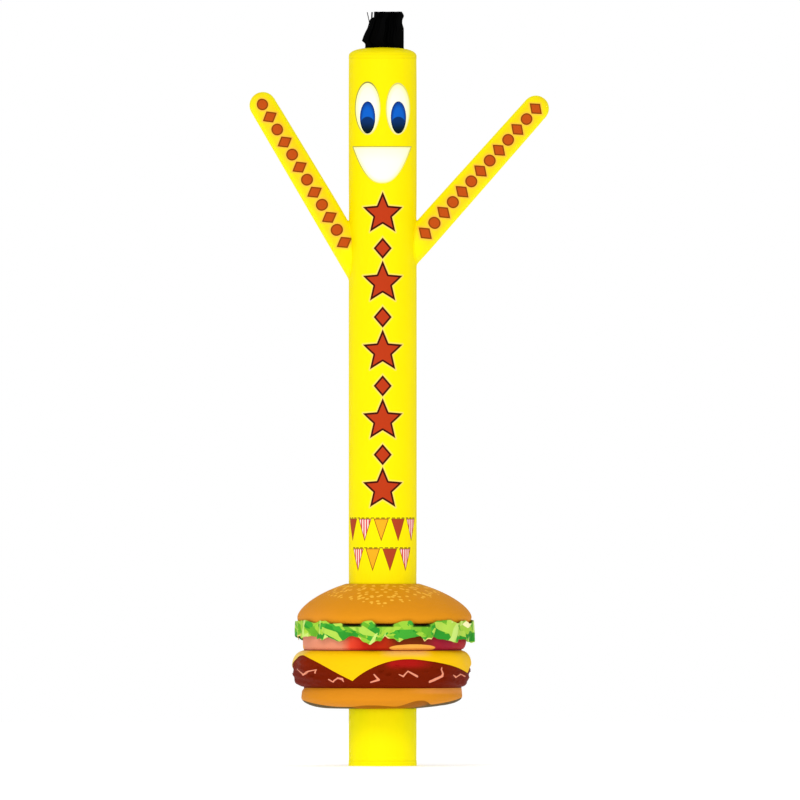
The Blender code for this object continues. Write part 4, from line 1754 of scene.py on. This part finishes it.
    def build_lettuce(self) -> None:
        """Make the gathered frill, deeper in its folds towards its edge."""
        last = len(FRILL) - 1
        marks = np.linspace(0, last, 3 * last + 1)
        lines = np.array([astuple(row) for row in FRILL]).T
        table = np.stack([np.interp(marks, range(last + 1), line) for line in lines], axis=1)
        outline = [(row[0], row[2] - 10 * MERGE * number) for number, row in enumerate(table)]

        def shape(turn: Array, row: Array) -> Pair:
            """Wave each row, and lay the frill between its two edges."""
            radius, lean, height, wave_out, drift = table[row].T
            turned = turn + drift
            out = waves(turned, self.frill_waves) + 0.30 * waves(turned, self.frill_crinkles)
            tip, edge = self.leaf_lines(turn)
            rising = np.clip(marks[row] - FRILL_NECK, 0, 1)
            hanging = np.clip((marks[row] - FRILL_TIP) / (last - FRILL_TIP), 0, 1)
            risen = FRILL[FRILL_NECK].height * (1 - rising) + tip * rising
            height = np.where(rising > 0, risen, height) + (edge - tip) * hanging
            return radius + lean * np.cos(turn) + wave_out * out, height

        piece = Bench.ring("lettuce_cloth", outline, self.frill_sides, shape)
        places = Bench.points(piece)
        turn = angles(places, AXIS)
        # The fold wave, which the shader turns into painted light on the folds that stand out.
        Bench.carry(piece, "fold", waves(turn + 0.08, self.frill_waves))
        Bench.carry(piece, "above_edge", places[:, 2] - self.leaf_lines(turn)[1])
        Bench.thicken(piece, CLOTH)
        shader, under = self.lettuce_shader(), ["bun_top_cloth"]
        Bench.hand_over(piece, "lettuce_frill", "green_nylon", shader, LETTUCE_CUT, under)

    def lettuce_shader(self) -> Shader:
        """Dress the frill in leaf greens, with painted light on its outstanding folds, dark lobes,
        painted shadows and a cream edge.

        Returns:
            Its shader.
        """
        shader = Shader("lettuce_dye")
        height, front = shader.height(), shader.front()
        across = front * self.frill_radius
        local = wrapped(front, math.pi)
        side = local.sine() * self.frill_radius
        # Painted light: the fold wave tips the cells towards lighter greens on the folds that stand
        # out.
        fold = shader.attribute("fold") * 0.16
        luck = shader.cells(across * 14.0, height * 20.0)[1] + fold
        colour = shader.mix(luck.ease(0.55, 0.56), LEAF, LIGHT_LEAF)
        colour = self.leaf_facets(across, height, fold, colour, EARLY_FACETS)
        lobes = (rounded((side - x) / half, (height - z) / high) for x, z, half, high in LOBES)
        lobe = nearest(lobes)
        ragged = lobe + (shader.cells(across * 22.0, height * 26.0)[1] - 0.5) * 0.7
        dark = shader.mix(luck.ease(0.50, 0.51), DARK_LEAF, MID_LEAF)
        colour = shader.mix(ragged.ease(1.08, 1.02), colour, dark)
        colour = self.leaf_facets(across, height, fold, colour, LATE_FACETS)
        pale = (abs(local - 1.24) * 6.5 + abs(height - 0.954) * 36.0).ease(1.05, 0.95)
        colour = shader.mix(pale, colour, LEAF_CREAM)
        for middle, half in FRILL_SHADOWS:
            shadow = abs(local - middle).ease(half + 0.03, half) * height.ease(0.932, 0.942)
            colour = shader.mix(shadow, colour, LEAF_SHADE)
        some = shader.cells(across * 11.0, 0.5)[1] > 0.45
        edge = shader.attribute("above_edge").ease(0.010, 0.006) * some * lobe.ease(0.95, 1.10)
        return Nylon().finish(shader, shader.mix(edge, colour, LEAF_EDGING))

    @staticmethod
    def leaf_facets(
        across: Value, height: Value, fold: Value, under: Colour, kinds: Sequence[Facets]
    ) -> Colour:
        """Print slim leaning cells of other greens.

        Args:
            across: the place round the frill.
            height: the height.
            fold: more in a fold that stands out, which tips the cells there as painted light.
            under: the colour beneath.
            kinds: the kinds of cells.

        Returns:
            The colour with the cells on it.
        """
        shader = across.shader
        for kind in kinds:
            along = across * math.cos(kind.lean) + height * math.sin(kind.lean)
            over = height * math.cos(kind.lean) - across * math.sin(kind.lean)
            # The fold term adds painted light: more of these cells, mostly lighter ones, on folds
            # that stand out.
            luck = shader.cells(along * 8.5 + kind.thin, over * kind.thin)[1] + fold * 0.5
            under = shader.mix(luck.ease(kind.odds, kind.odds + 0.01), under, kind.dye)
        return under

    def build_tomato(self) -> None:
        """Make the red band."""
        middle = (self.tomato_low + self.tomato_high) / 2
        half = (self.tomato_high - self.tomato_low) / 2 - self.seam_upright
        belly = self.tomato_radius - self.seam_radius
        outline = [(self.seam_radius, self.tomato_high)]
        for a in arc(0.0, math.pi, 14):
            outline.append((self.seam_radius + belly * math.sin(a), middle + half * math.cos(a)))
        outline.append((self.seam_radius, self.tomato_low))
        drawn = np.array(outline)

        def shape(turn: Array, row: Array) -> Pair:
            """Let the belly wobble and lean, with small tucks at its seams."""
            radius, height = drawn[row].T
            full = (radius - self.seam_radius) / belly
            wobble = self.tomato_wobble * waves(turn, ((5, 0.7), (8, 2.1)))
            gather = self.tomato_tuck * waves(turn, self.gathers[:2])
            out = full * (wobble + self.burger_lean * np.cos(turn))
            return radius + out + full * (1 - full) * 4 * gather, height

        piece = Bench.ring("tomato_cloth", outline, self.sides, shape)
        Bench.thicken(piece, CLOTH)
        shader, under = self.tomato_shader(2 * half + 2 * self.seam_upright), ["lettuce_cloth"]
        Bench.hand_over(piece, "tomato_band", "red_nylon", shader, TOMATO_CUT, under)

    def tomato_shader(self, length: float) -> Shader:
        """Dress the band in reds that change round it, with light ovals, painted light on its left
        and painted shade right of its front and along its lower edge.

        Args:
            length: how high the band is.

        Returns:
            Its shader.
        """
        shader = Shader("tomato_dye")
        turn, height = shader.front(), shader.height()
        local = wrapped(turn, math.tau / 3, self.oval_turn) / self.oval_half_turn
        up = (height - self.oval_z) / self.oval_half_height
        # Reds round the band, with painted light on its left and painted shade right of its front.
        colour = shader.layers(
            shader.ramp(turn.sine() * 0.5 + 0.5, TOMATO_REDS_AND_PAINTED_LIGHT),
            (rounded(local, up).ease(1.03, 0.96), TOMATO_OVAL),
            # Painted shade along the band's lowest 14 mm.
            (height.ease(self.tomato_low + 0.014, self.tomato_low), TOMATO_PAINTED_SHADE),
        )
        first, last = self.stitch_rows
        along, run = turn * self.tomato_radius, shader.attribute("run")
        colour = RED_THREAD.lay(along, run, (last, length - first), colour)
        return Nylon().finish(shader, colour)

    def patty_skin(self, turn: Array, height: Array) -> Array:
        """Find the patty's skin.

        Args:
            turn: angles about the axis.
            height: heights.

        Returns:
            The skin's radius there.
        """
        top = self.patty_high - self.seam_upright
        bottom = self.patty_low + self.seam_upright
        share = (2 * height - top - bottom) / (top - bottom)
        full = np.sqrt(np.maximum(0.0, 1 - np.abs(share) ** self.patty_fullness))
        slant = self.patty_slant * height / self.patty_radius
        lumps = waves(turn + slant, ((7, 0.2), (11, 1.7))) + 0.5 * waves(turn - slant, ((9, 2.9),))
        belly = self.patty_radius - self.seam_radius
        belly = belly + self.patty_lean * np.cos(turn) + self.patty_lump * lumps
        return self.seam_radius + belly * full

    @staticmethod
    def cheese_edge(turn: Array) -> Array:
        """Follow the slice's edge, which is low at its corners and highest between them.

        Args:
            turn: angles about the axis.

        Returns:
            The edge's height there.
        """
        first = SLICE[0].corner
        degrees = (np.degrees(turn) - first) % 360 + first
        edge = np.full_like(degrees, SLICE[0].corner_z)
        last = replace(SLICE[0], corner=first + 360)
        for side, following in zip(SLICE, SLICE[1:] + (last,)):
            before = np.clip((side.crest - degrees) / (side.crest - side.corner), 0, 1)
            after = np.clip((degrees - side.crest) / (following.corner - side.crest), 0, 1)
            falls = (side.corner_z - side.crest_z) * before**side.before
            falls = falls + (following.corner_z - side.crest_z) * after**side.after
            within = (degrees >= side.corner) & (degrees <= following.corner)
            edge = np.where(within, side.crest_z + falls, edge)
        return edge

    def build_patty(self) -> None:
        """Make the lumpy brown band, roughest below the slice."""
        middle = (self.patty_low + self.patty_high) / 2
        half = (self.patty_high - self.patty_low) / 2 - self.seam_upright
        heights = [middle + half * math.cos(a) for a in arc(0.0, math.pi, 26)]
        heights = [self.patty_high, *heights, self.patty_low]
        outline = [(self.seam_radius, height) for height in heights]

        def shape(turn: Array, row: Array) -> Pair:
            """Follow the skin, with crags where the slice leaves it free."""
            height = np.array(heights)[row]
            radius = self.patty_skin(turn, height)
            free = np.clip((self.cheese_edge(turn) - 0.012 - height) / 0.02, 0.0, 1.0)
            full = (radius - self.seam_radius) / (self.patty_radius - self.seam_radius)
            crags = np.sin(height * 190 + 2 * waves(turn, ((6, 0.0),)))
            crags = crags * waves(turn, ((29, 1.0), (41, 0.2))) + np.sin(height * 120 + turn * 5)
            return radius + free * np.clip(full, 0, 1) * self.patty_crag * crags, height

        piece = Bench.ring("patty_cloth", outline, self.fine_sides, shape)
        Bench.thicken(piece, CLOTH)
        shader, under = self.patty_shader(), ["bun_bottom_cloth"]
        Bench.hand_over(piece, "patty_band", "brown_nylon", shader, PATTY_CUT, under)

    def patty_shader(self) -> Shader:
        """Dress the band in dark brown, with painted light on its upper left, a red glow under the
        slice and light flecks.

        Returns:
            Its shader.
        """
        shader = Shader("patty_dye")
        turn, height = shader.front(), shader.height()
        # Painted light: the band's upper left is a lighter reddish brown.
        lit_upper_left = turn.sine().ease(-0.60, -0.95) * height.ease(0.600, 0.690)
        local = wrapped(turn, math.pi, 0.10)
        glow = local.ease(-0.10, 0.02) * local.ease(0.62, 0.22) * height.ease(0.640, 0.690)
        across = wrapped(turn, math.pi).sine() * self.patty_radius
        strokes = [ends for fleck in FLECKS for ends in zip(fleck, fleck[1:])]
        outside = nearest(stroke(across, height, *ends) for ends in strokes)
        colour = shader.layers(
            shader.ramp(height.ease(self.patty_low, self.patty_high), PATTY_DYES),
            (lit_upper_left * 0.2, PATTY_PAINTED_LIGHT),
            (glow, PATTY_GLOW),
            (outside.ease(0.0015, -0.0015), FLECK),
        )
        return PATTY_NYLON.finish(shader, colour)

    def build_cheese(self) -> None:
        """Make the square slice that hangs over the patty."""
        flat, shoulder_z, step = len(self.cheese_radii), self.cheese_shoulder_z, 0.004
        outline = [(radius, self.cheese_top) for radius in self.cheese_radii]
        outline += [(0.60, shoulder_z - 0.01 * row) for row in range(self.cheese_rows + 1)]
        drawn = np.array(outline)

        def shape(turn: Array, row: Array) -> Pair:
            """Hang the slice over the patty's skin, a little off it."""
            share = np.clip((row - flat) / self.cheese_rows, 0.0, 1.0)
            height = shoulder_z + (self.cheese_edge(turn) - shoulder_z) * share**1.5
            skin = self.patty_skin(turn, height)
            slope = self.patty_skin(turn, height - step) - self.patty_skin(turn, height + step)
            lift = (DRAPE_GAP + FELLED_CLOTH) / np.hypot(2 * step, slope)
            radius = np.where(row >= flat, skin + lift * 2 * step, drawn[row, 0])
            return radius, np.where(row >= flat, height + lift * slope, drawn[row, 1])

        piece = Bench.ring("cheese_cloth", outline, self.fine_sides, shape)
        Bench.thicken(piece, FELLED_CLOTH)
        shader, under = self.cheese_shader(), ["patty_cloth"]
        Bench.hand_over(piece, "cheese_slice", "cheese_nylon", shader, CHEESE_CUT, under)

    def cheese_shader(self) -> Shader:
        """Dress the slice in yellow, peach below its shoulder, with a painted highlight that makes
        its left side pale.

        Returns:
            Its shader.
        """
        shader = Shader("cheese_dye")
        height, turn = shader.height(), shader.front()
        local = wrapped(turn, math.pi, 0.30)
        colour = shader.layers(
            CHEESE,
            # Painted highlight: the slice's left side is pale.
            (turn.sine().ease(-0.86, -0.97) * 0.6, CHEESE_PAINTED_HIGHLIGHT),
            (abs(local).ease(0.36, 0.16) * height.ease(0.725, 0.765), CHEESE_PEACH),
        )
        return CHEESE_NYLON.finish(shader, colour)

    def build_bottom_bun(self) -> None:
        """Make the lower bun with its flat base."""
        radius, top = self.base_radius, self.base_high
        outline = [(self.seam_radius, top), (self.seam_radius, top - self.seam_upright)]
        outline.append((radius - 0.003, top - self.base_shoulder))
        for a in arc(0.0, math.pi / 2, 14):
            height = self.base_low + self.base_corner_height * (1 - math.sin(a))
            outline.append((radius - self.base_corner_width * (1 - math.cos(a)), height))
        outline = fine(outline + [(TUBE_RADIUS + SEAM_GAP, self.base_low)], 0.03)
        skin = self.skin(outline, (1, len(outline) - 1), self.base_lean)

        def shape(turn: Array, row: Array) -> Pair:
            """Lift the skin's base on its +X side."""
            out, height = skin(turn, row)
            low_down = np.clip((self.base_high - height) / (self.base_high - self.base_low), 0, 1)
            outer = np.clip((out - TUBE_RADIUS) / 0.16, 0, 1)
            return out, height + self.base_lift * np.maximum(np.cos(turn), 0) * low_down * outer

        piece = Bench.ring("bun_bottom_cloth", outline, self.sides, shape)
        Bench.thicken(piece, CLOTH)
        shader, under = self.bottom_bun_shader(), ["tube_cloth"]
        Bench.hand_over(piece, "bun_bottom", "bun_nylon", shader, BASE_CUT, under)

    def bottom_bun_shader(self) -> Shader:
        """Dress the lower bun, with painted shade below an uneven line, darker towards its flanks.

        Returns:
            Its shader.
        """
        shader = Shader("bun_bottom_dye")
        turn, height = shader.front(), shader.height()
        side = wrapped(turn, math.pi).sine()
        hump = side.ease(0.20, 0.46) * side.ease(0.72, 0.50)
        line = self.underside_shade_z + hump * 0.035 + abs(side + 0.15).ease(0.36, 0.05) * 0.011
        rise = (abs(side) - 0.5).most(0.0)
        line = line + rise * rise * rise * 0.36 + turn.sine().most(0.0) * self.base_lift
        pink = turn.sine().ease(0.25, 0.75) * height.ease(0.478, 0.500) * 0.4
        # Painted shade below the line, darker towards the flanks that turn away.
        painted_underside = shader.mix(abs(side - 0.08).ease(0.46, 0.62), UNDERSIDE_SHADE, DEEP_UNDERSIDE_SHADE)
        shaded_below_line = (height - line).ease(0.0015, -0.0015)
        return Nylon().finish(shader, shader.layers(BASE, (pink, BASE_PINK), (shaded_below_line, painted_underside)))

    def build(self) -> None:
        """Make the whole collar, from its lower bun up."""
        self.build_bottom_bun()
        self.build_patty()
        self.build_cheese()
        self.build_tomato()
        self.build_lettuce()
        self.build_top_bun()


# ---- hair ----


@dataclass(frozen=True)
class Strand:
    """A loose streamer: the (side, height) points of its path, and how wide it is."""

    path: tuple[tuple[float, float], ...]
    width: float


STRANDS = (
    Strand(((-0.090, 4.930), (-0.0900, 5.000), (-0.1040, 5.064)), 0.0060),
    Strand(((-0.080, 4.930), (-0.0740, 5.010), (-0.0715, 5.065)), 0.0100),
)
# The tuft's two sides, as (height, side) points
TUFT_LEFT = (
    (4.815, -0.117), (4.852, -0.118), (4.862, -0.128), (4.871, -0.140), (4.905, -0.129),
    (4.931, -0.117), (4.958, -0.103), (4.985, -0.095), (5.012, -0.087), (5.026, -0.075),
    (5.031, -0.0590), (5.066, -0.0585),
)
TUFT_RIGHT = (
    (4.815, 0.1420), (4.955, 0.1420), (4.990, 0.1310), (5.015, 0.1330), (5.036, 0.1425),
    (5.046, 0.1415), (5.066, 0.1295),
)


BLACK, SOFT_BLACK = Dye(0, 0, 0), Dye(4, 4, 5)


@dataclass
class Hair:
    """The tuft of black nylon streamers on the crown."""

    left: float = -0.120
    right: float = 0.143
    columns: int = 14
    rows: int = 8
    depth: float = 0.062
    width: float = 0.026
    top_z: float = 5.066
    uneven: float = 0.002
    cloth: float = 0.0014
    strand_out: float = 0.030
    backing_margin: float = 0.012
    backing_cloth: float = 0.0045
    backing_lift: float = 0.0055
    bends: int = 40
    fibre_scale: tuple[float, float, float] = (160, 160, 6)
    seed: int = 23

    def build(self, height_at: Callable[[float], float]) -> Piece:
        """Make the tuft.

        Args:
            height_at: gives the crown's height at a distance from its middle.

        Returns:
            The tuft.
        """
        dice = random.Random(self.seed)
        streamers = []
        for row in range(self.rows):
            y = self.depth * (row / (self.rows - 1) - 0.5)
            for column in range(self.columns):
                share = (column + 0.5 * (row % 2)) / (self.columns - 0.5)
                x = self.left + (self.right - self.left) * share
                streamers.append(self.streamer(share, y, height_at(math.hypot(x, y)), dice))
        streamers += [self.strand(strand) for strand in STRANDS]
        tuft = Bench.join(streamers)
        tuft.name = "hair_streamers"
        Bench.thicken(tuft, self.cloth)
        tuft = Bench.join([tuft, self.backing(height_at)])
        shader = Shader("hair_dye")
        where = {"Vector": shader.place(), "Scale": self.fibre_scale}
        fibre = shader.noise(shader.node("ShaderNodeMapping", {}, where).outputs[0], 1.0)
        STREAMER_NYLON.finish(shader, shader.mix(fibre, BLACK, SOFT_BLACK))
        return Bench.hand_over(tuft, "hair_tuft", "black_nylon", shader, None)

    def streamer(self, share: float, y: float, z: float, dice: random.Random) -> Piece:
        """Bend a strip into its place in the tuft's outline.

        Args:
            share: its place across the tuft, from 0 to 1.
            y: its root's place from front to back.
            z: its root's height.
            dice: gives its chances.

        Returns:
            The strip.
        """
        strip, across, up = Bench.grid("streamer", 2, self.bends)
        top = self.top_z - dice.uniform(0.0, self.uneven)
        curl = dice.uniform(0.4, 1.0)
        phase = dice.uniform(0, math.tau)
        turned = dice.uniform(-1.0, 1.0) if 0.06 < share < 0.94 else 0.0
        twist = dice.uniform(-0.5, 0.5)
        risen = (up + 1) / 2
        new_z = z + 0.002 + (top - z) * risen
        left = np.interp(new_z, *np.array(TUFT_LEFT).T)
        right = np.interp(new_z, *np.array(TUFT_RIGHT).T)
        angle = turned + twist * risen
        narrow = (right - left) / (self.right - self.left)
        middle = left + self.width * narrow * (0.5 - share) + share * (right - left)
        sway = 0.003 * np.sin(5 * risen + phase) * risen * (0.06 < share < 0.94)
        new_x = middle + self.width / 2 * narrow * across * np.cos(angle) + sway
        fan = y * (1 + 1.1 * risen**curl)
        new_y = fan + self.width / 2 * across * np.sin(angle)
        new_y = new_y + 0.004 * np.sin(7 * risen + phase) * risen
        Bench.move_to(strip, np.stack([AXIS.x + new_x, AXIS.y + new_y, new_z], axis=1))
        return strip

    def strand(self, strand: Strand) -> Piece:
        """Make one loose streamer at the front left.

        Args:
            strand: its path and width.

        Returns:
            The strip.
        """
        strip, across, up = Bench.grid("strand", 1, 12)
        x, z = np.array(strand.path).T
        new_z = z[0] + (z[-1] - z[0]) * (up + 1) / 2
        new_x = np.interp(new_z, z, x) + strand.width / 2 * across
        new_y = np.full_like(new_x, AXIS.y - self.strand_out)
        Bench.move_to(strip, np.stack([AXIS.x + new_x, new_y, new_z], axis=1))
        return strip

    def backing(self, height_at: Callable[[float], float]) -> Piece:
        """Lay the strip that holds the roots over the crown.

        Args:
            height_at: gives the crown's height at a distance from its middle.

        Returns:
            The strip.
        """
        strip, u, v = Bench.grid("backing", 24, 6)
        x = (self.left + self.right + u * (self.right - self.left)) / 2
        y = v * (self.depth + self.backing_margin) / 2
        z = np.array([height_at(r) for r in np.hypot(x, y)]) + self.backing_lift
        Bench.move_to(strip, np.stack([AXIS.x + x, AXIS.y + y, z], axis=1))
        Bench.thicken(strip, self.backing_cloth)
        return strip


# ---- studio ----


WHITE, PALE_GREY = Dye(255, 255, 255), Dye(253, 253, 253)


@dataclass
class Studio:
    """A pale floor, soft light, and the camera at the photograph's angle."""

    metres_a_pixel: float = 0.00672
    picture: int = 800
    tube_middle_px: float = 382.7
    floor_px: float = 765.8
    lens: float = 1500.0
    sensor: float = 36.0
    sky: float = 0.66
    sun: float = 0.62
    sun_size: float = math.radians(16)
    sun_turns: tuple[tuple[float, float], ...] = ((55.0, -12.0), (84.0, -4.0))
    floor_radius: float = 30.0
    floor_drop: float = 0.001
    floor_glow: float = 0.36

    def build(self) -> None:
        """Set up the camera, the lights and the floor."""
        scene = bpy.context.scene
        span = self.picture * self.metres_a_pixel
        distance = span * self.lens / self.sensor
        sideways = (self.picture / 2 - self.tube_middle_px) * self.metres_a_pixel
        height = (self.floor_px - self.picture / 2) * self.metres_a_pixel
        bpy.ops.object.camera_add(
            location=(AXIS.x + sideways, AXIS.y - distance, height),
            rotation=(math.pi / 2, 0, 0),
        )
        camera = bpy.context.object
        camera.data.lens = self.lens
        camera.data.sensor_width = self.sensor
        camera.data.clip_end = 1000.0
        scene.camera = camera
        scene.view_settings.view_transform = "Standard"
        self.light(scene)
        self.lay_floor()

    def light(self, scene: bpy.types.Scene) -> None:
        """Hang an even sky, seen as pure white, and two soft lights at the front, high and low.

        Args:
            scene: Blender's scene.
        """
        world = bpy.data.worlds.new("studio")
        world.use_nodes = True
        scene.world = world
        nodes, links = world.node_tree.nodes, world.node_tree.links
        sky = nodes["Background"]
        sky.inputs["Color"].default_value = WHITE.linear
        seen = nodes.new("ShaderNodeLightPath")
        strength = nodes.new("ShaderNodeMix")
        strength.inputs["A"].default_value = self.sky
        strength.inputs["B"].default_value = 1.0
        links.new(seen.outputs["Is Camera Ray"], strength.inputs["Factor"])
        links.new(strength.outputs["Result"], sky.inputs["Strength"])
        for tilt, turn in self.sun_turns:
            rotation = (math.radians(tilt), 0, math.radians(turn))
            bpy.ops.object.light_add(type="SUN", rotation=rotation)
            sun = bpy.context.object.data
            sun.energy = self.sun
            sun.angle = self.sun_size

    def lay_floor(self) -> None:
        """A wide pale disc under the hem."""
        Bench.clear()
        place = (0, 0, -self.floor_drop)
        bpy.ops.mesh.primitive_circle_add(
            vertices=96, radius=self.floor_radius, fill_type="NGON", location=place
        )
        floor = bpy.context.object
        floor.name = "studio_floor"
        shader = Shader("floor_paint")
        grain = shader.noise(shader.place(), 2.0)
        sockets = shader.surface.inputs
        shader.feed(sockets["Base Color"], shader.mix(grain, PALE_GREY, WHITE))
        sockets["Emission Color"].default_value = WHITE.linear
        sockets["Emission Strength"].default_value = self.floor_glow
        sockets["Roughness"].default_value = 0.9
        sockets["Specular IOR Level"].default_value = 0.0
        floor.data.materials.append(shader.material)


def crown_height(outline: Outline) -> Callable[[float], float]:
    """Read the crown's height from its outline.

    Args:
        outline: the crown's outline.

    Returns:
        A function that gives the height at a distance from the crown's middle.
    """
    radii, heights = zip(*outline)
    return lambda radius: float(np.interp(radius, radii, heights))


def main() -> None:
    """Build the dancer and the studio."""
    logging.basicConfig(level=logging.INFO, format="%(message)s")
    Studio().build()
    body = Body()
    body.build()
    hair = Hair().build(crown_height(body.crown_outline()))
    body.build_crown([hair])
    arms = Arms()
    for size in ARMS:
        arms.build(size)
    face = Face()
    for patch in PATCHES:
        face.build(patch)
    Burger().build()


if __name__ == "__main__":
    main()
